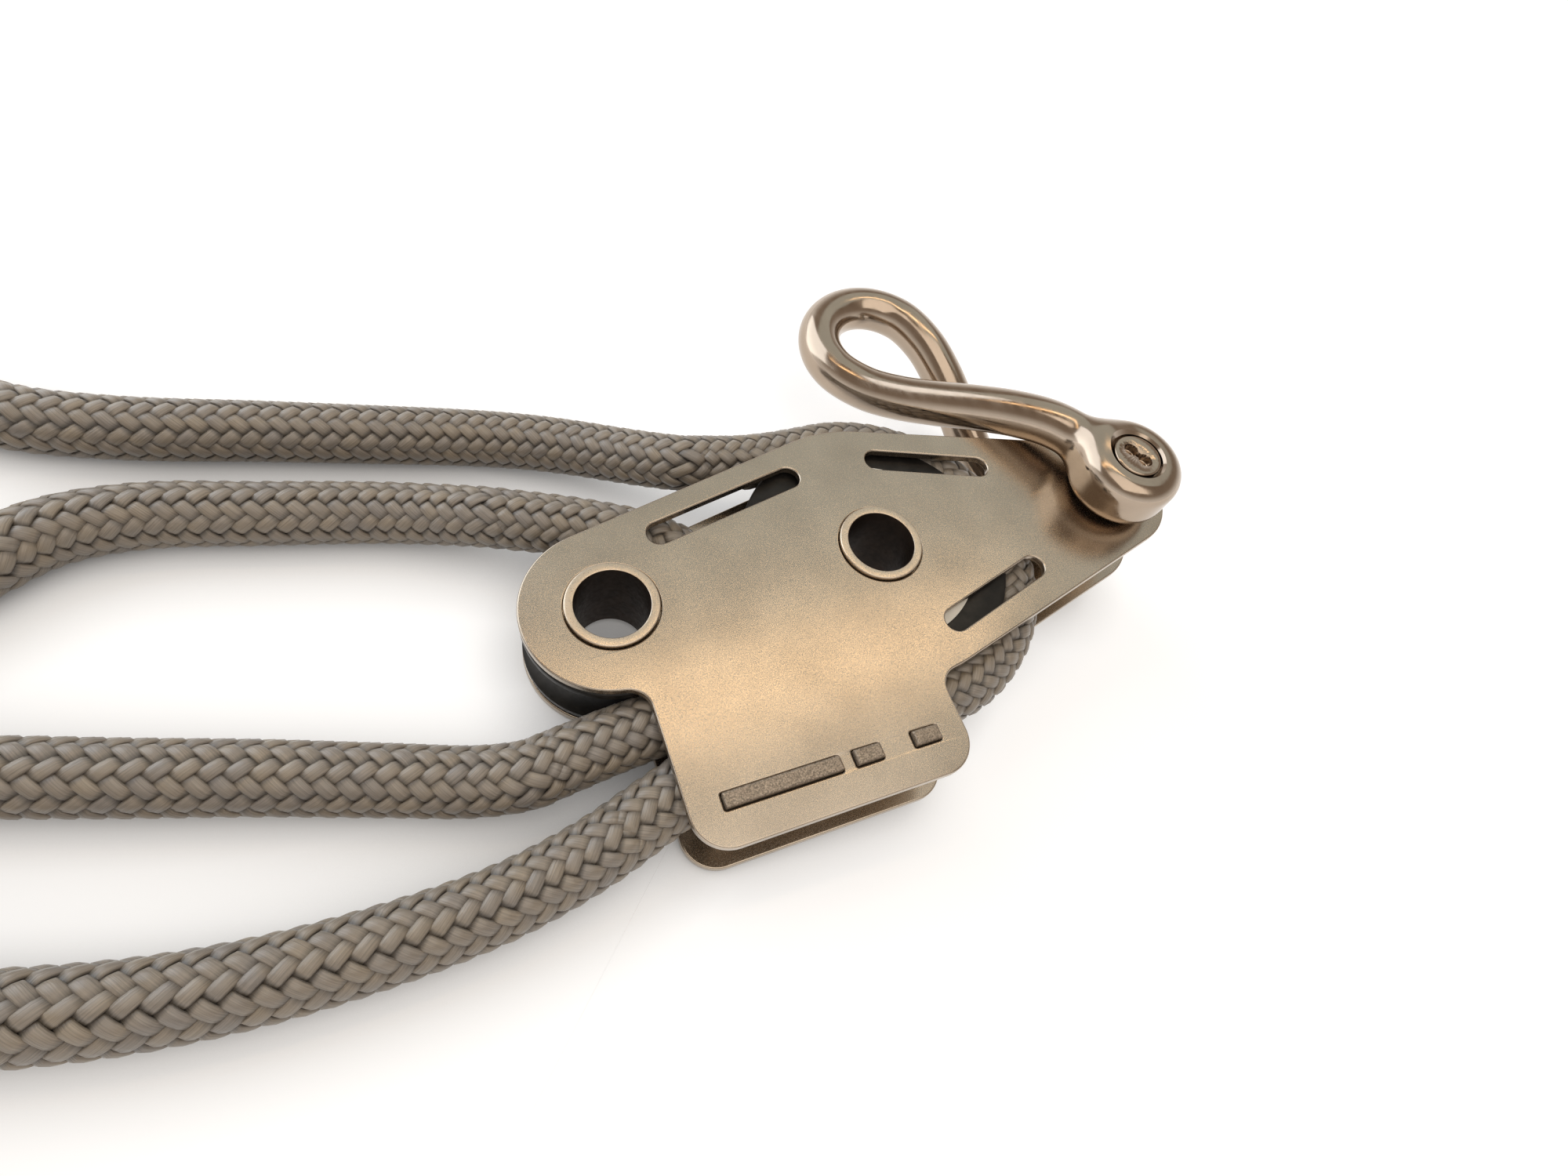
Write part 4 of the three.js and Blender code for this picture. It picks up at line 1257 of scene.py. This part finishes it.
class ROPEBLOCK_OT_rope(bpy.types.Operator):
    """Make the braided rope: its two turns in the block, and what lies free"""

    bl_idname = "ropeblock.rope"
    bl_label = "Braided Rope"

    def execute(self, context):
        sizes = context.scene.rope_block_rope
        finishes = context.scene.rope_block_finishes
        rope = Rope(sizes)
        yarn = yarn_material("braided cover", finishes.rope)
        # The core's near-black colour is painted shade between the yarns.
        core = plastic("rope core", finishes.core, 0.9, 900)
        sleeve = plastic("shrunk sleeve", finishes.sleeve, 0.4, 1500)
        leg, small, bight, big, tail = rope.spans
        pieces = {
            "braided_leg": (leg, "rope_anchor_leg"),
            "braided_small_turn": (small, "rope_small_turn"),
            "braided_bight": (bight, "rope_bight"),
            "braided_big_turn": (big, "rope_big_turn"),
            "braided_tail": (tail, "rope_tail", "rope_coil", "rope_coil_top"),
        }
        for name, ((first, last), *nodes) in pieces.items():
            coarse = first + 0.11 if name == "braided_tail" else None
            piece = rope.braid(name, first, last, coarse)
            piece.data.materials.append(yarn)
            piece.data.materials.append(core)
            finish(piece, yarn, "block", "rope_braid", *nodes)
        leg_cap = self.cap("sleeve_leg", rope.line[0], rope.line[0] - rope.line[2], sizes)
        finish(leg_cap, sleeve, "block", "end_cap", "rope_anchor_cap")
        tail_cap = self.cap("sleeve_tail", rope.line[-1], rope.line[-1] - rope.line[-3], sizes)
        finish(tail_cap, sleeve, "block", "end_cap", "rope_tail_cap")

        return {"FINISHED"}

    def cap(self, name, end, way, sizes):
        """A sleeve shrunk on to the rope's end, slightly waisted by the yarns below."""
        r, top = sizes.radius, sizes.cap
        wall = [(r * (1.0 - 0.015 * (1 + math.cos(2 * math.pi * i / 5))), 0.0003 + 0.8 * top * i / 20)
                for i in range(21)]
        shoulder = [(r - 0.0018 * (1 - math.cos(a)), top - 0.0018 + 0.0018 * math.sin(a))
                    for a in (math.pi / 2 * k / 6 for k in range(7))]
        profile = [(0, 0.0003), *wall, *shoulder, (0, top)]
        turn = Vector((0, 0, 1)).rotation_difference(Vector(way)).to_matrix().to_4x4()
        return turned(name, profile, Matrix.Translation(Vector(end)) @ turn, 48)


# ---------------------------------------------------------------- stage


class ROPEBLOCK_OT_stage(bpy.types.Operator):
    """Set the pale floor, soft studio light and camera"""

    bl_idname = "ropeblock.stage"
    bl_label = "Stage"

    # The camera's place and the way it looks, in the block's frame with X along the block.
    place = (-0.01851, -0.05674, 0.11814)
    right = (0.91389, -0.35408, 0.19859)
    up = (0.21985, 0.84289, 0.49112)
    back = (-0.34128, -0.40517, 0.84815)
    lens = 19.285

    # Name, place, what it faces, size, power, colour and the way of its long side, in that frame.
    strip_way = (0.93, -0.147, -0.338)
    lamps = (
        ("warm strip", (0.13, 0.291, 0.874), (-0.02, -0.02, 0.02), (0.95, 0.045), 0.68,
         (1.0, 0.71, 0.41), strip_way),
        ("fill softbox", (0.42, 0.44, 0.80), (0.02, 0, 0), (0.95, 0.75), 1.1,
         (0.76, 0.95, 1.0), strip_way),
        ("cool softbox", (-0.55, 0.75, 0.55), (-0.05, 0, 0), (1.1, 1.1), 8.0,
         (0.82, 0.91, 1.0), (1, 0, 0)),
        ("top softbox", (0.05, -0.35, 1.1), (0, 0, 0), (1.1, 1.1), 5.0,
         (1.0, 0.96, 0.90), (1, 0, 0)),
    )

    def execute(self, context):
        scene = context.scene
        scene.view_settings.view_transform = "Standard"
        camera = bpy.data.cameras.new("camera")
        camera.sensor_fit = "HORIZONTAL"
        camera.sensor_width = 36.0
        camera.lens = self.lens
        camera.clip_start = 0.005
        holder = bpy.data.objects.new("camera", camera)
        look = Matrix((self.right, self.up, self.back)).transposed().to_4x4()
        holder.matrix_world = BLOCK @ Matrix.Translation(self.place) @ look
        scene.collection.objects.link(holder)
        scene.camera = holder
        self.floor(scene)
        self.sky(scene)
        for lamp in self.lamps:
            self.lamp(*lamp)
        return {"FINISHED"}

    def lamp(self, name, place, target, size, power, rgb, along):
        """A softbox that faces a point, with its long side in one direction, in the block's frame."""
        place, target = BLOCK @ Vector(place), BLOCK @ Vector(target)
        light = bpy.data.lights.new(name, "AREA")
        light.shape = "RECTANGLE"
        light.size, light.size_y = size
        light.energy = power
        light.color = rgb
        holder = bpy.data.objects.new(name, light)
        back = (place - target).normalized()
        across = back.cross(TURN.to_3x3() @ Vector(along)).normalized()
        facing = Matrix((across.cross(back), across, back)).transposed().to_4x4()
        holder.matrix_world = Matrix.Translation(place) @ facing
        bpy.context.scene.collection.objects.link(holder)

    def floor(self, scene):
        """A wide floor that shows white, keeps the shadow, has painted contact shade close to the block,
        and can be seen through from below.
        """
        reach = 40.0
        floor = mesh_object("floor", [(-reach, -reach, 0), (reach, -reach, 0), (reach, reach, 0),
                                      (-reach, reach, 0)], [(0, 1, 2, 3)])
        made, nodes, links, shader = material("pale floor")
        shader.inputs["Base Color"].default_value = (*scene.rope_block_finishes.floor, 1.0)
        shader.inputs["Roughness"].default_value = 0.9
        shader.inputs["Specular IOR Level"].default_value = 0.1
        ray = nodes.new("ShaderNodeLightPath")
        seen = ray.outputs["Is Camera Ray"]
        for other in ("Is Glossy Ray", "Is Transmission Ray"):
            seen = worked(nodes, links, "MAXIMUM", seen, ray.outputs[other])
        # Ambient occlusion holds back the floor's white glow close to the block, as painted contact shade.
        shade = nodes.new("ShaderNodeAmbientOcclusion")
        shade.samples = 12
        shade.inputs["Distance"].default_value = 0.012
        open_floor = worked(nodes, links, "MULTIPLY", seen, shade.outputs["AO"])
        lift = worked(nodes, links, "MULTIPLY", open_floor, self.far_lift(nodes, links))
        shader.inputs["Emission Color"].default_value = (1.0, 1.0, 1.0, 1.0)
        links.new(lift, shader.inputs["Emission Strength"])
        place = nodes.new("ShaderNodeNewGeometry")
        from_below = nodes.new("ShaderNodeBsdfTransparent")
        sides = nodes.new("ShaderNodeMixShader")
        links.new(place.outputs["Backfacing"], sides.inputs["Fac"])
        links.new(shader.outputs["BSDF"], sides.inputs[1])
        links.new(from_below.outputs["BSDF"], sides.inputs[2])
        links.new(sides.outputs["Shader"], nodes["Material Output"].inputs["Surface"])
        floor.data.materials.append(made)

    def far_lift(self, nodes, links):
        """The floor's own light, which grows to white away from the block, where no lamp reaches."""
        place = nodes.new("ShaderNodeNewGeometry")
        away = nodes.new("ShaderNodeVectorMath")
        away.operation = "LENGTH"
        links.new(place.outputs["Position"], away.inputs[0])
        grow = nodes.new("ShaderNodeMapRange")
        grow.inputs["From Min"].default_value = 0.25
        grow.inputs["From Max"].default_value = 1.2
        grow.inputs["To Min"].default_value = 0.64
        grow.inputs["To Max"].default_value = 1.0
        links.new(away.outputs["Value"], grow.inputs["Value"])
        return grow.outputs["Result"]

    def sky(self, scene):
        """White at the horizon, and dimmer and warmer overhead; the camera sees white all over."""
        world = bpy.data.worlds.new("studio")
        world.use_nodes = True
        scene.world = world
        nodes, links = world.node_tree.nodes, world.node_tree.links
        place = nodes.new("ShaderNodeTexCoord")
        parts = nodes.new("ShaderNodeSeparateXYZ")
        links.new(place.outputs["Generated"], parts.inputs["Vector"])
        stops = [(0.12, (1.0, 1.0, 1.0)), (0.5, (0.35, 0.29, 0.24)), (1.0, (0.24, 0.185, 0.14))]
        ray = nodes.new("ShaderNodeLightPath")
        behind = nodes.new("ShaderNodeMix")
        behind.data_type = "RGBA"
        behind.inputs["B"].default_value = (1.0, 1.0, 1.0, 1.0)
        links.new(ray.outputs["Is Camera Ray"], behind.inputs["Factor"])
        links.new(ramp(nodes, links, parts.outputs["Z"], stops), behind.inputs["A"])
        links.new(behind.outputs["Result"], nodes["Background"].inputs["Color"])


# ---------------------------------------------------------------- panel and registration


class ROPEBLOCK_PT_panel(bpy.types.Panel):
    """Lists the operators and settings"""

    bl_idname = "ROPEBLOCK_PT_panel"
    bl_label = "Rope Block"
    bl_space_type = "VIEW_3D"
    bl_region_type = "UI"
    bl_category = "Rope Block"

    def draw(self, context):
        layout = self.layout
        for operator in OPERATORS:
            layout.operator(operator.bl_idname)
        for group in SETTINGS:
            box = layout.box()
            settings = getattr(context.scene, group)
            for name in settings.__annotations__:
                box.prop(settings, name)


SETTINGS = {
    "rope_block_sizes": RopeBlockSizes,
    "rope_block_shackle": RopeBlockShackle,
    "rope_block_rope": RopeBlockRope,
    "rope_block_finishes": RopeBlockFinishes,
}
OPERATORS = (
    ROPEBLOCK_OT_stage,
    ROPEBLOCK_OT_rope,
    ROPEBLOCK_OT_plates,
    ROPEBLOCK_OT_axles,
    ROPEBLOCK_OT_sheaves,
    ROPEBLOCK_OT_nose_spacer,
    ROPEBLOCK_OT_rope_guide,
    ROPEBLOCK_OT_shackle,
)


def register():
    for group in SETTINGS.values():
        bpy.utils.register_class(group)
    for cls in (*OPERATORS, ROPEBLOCK_PT_panel):
        bpy.utils.register_class(cls)
    for name, group in SETTINGS.items():
        setattr(bpy.types.Scene, name, PointerProperty(type=group))


def unregister():
    for name in SETTINGS:
        delattr(bpy.types.Scene, name)
    for cls in (ROPEBLOCK_PT_panel, *reversed(OPERATORS)):
        bpy.utils.unregister_class(cls)
    for group in reversed(SETTINGS.values()):
        bpy.utils.unregister_class(group)


def main():
    register()
    for operator in OPERATORS:
        group, name = operator.bl_idname.split(".")
        getattr(getattr(bpy.ops, group), name)()


if __name__ == "__main__":
    main()
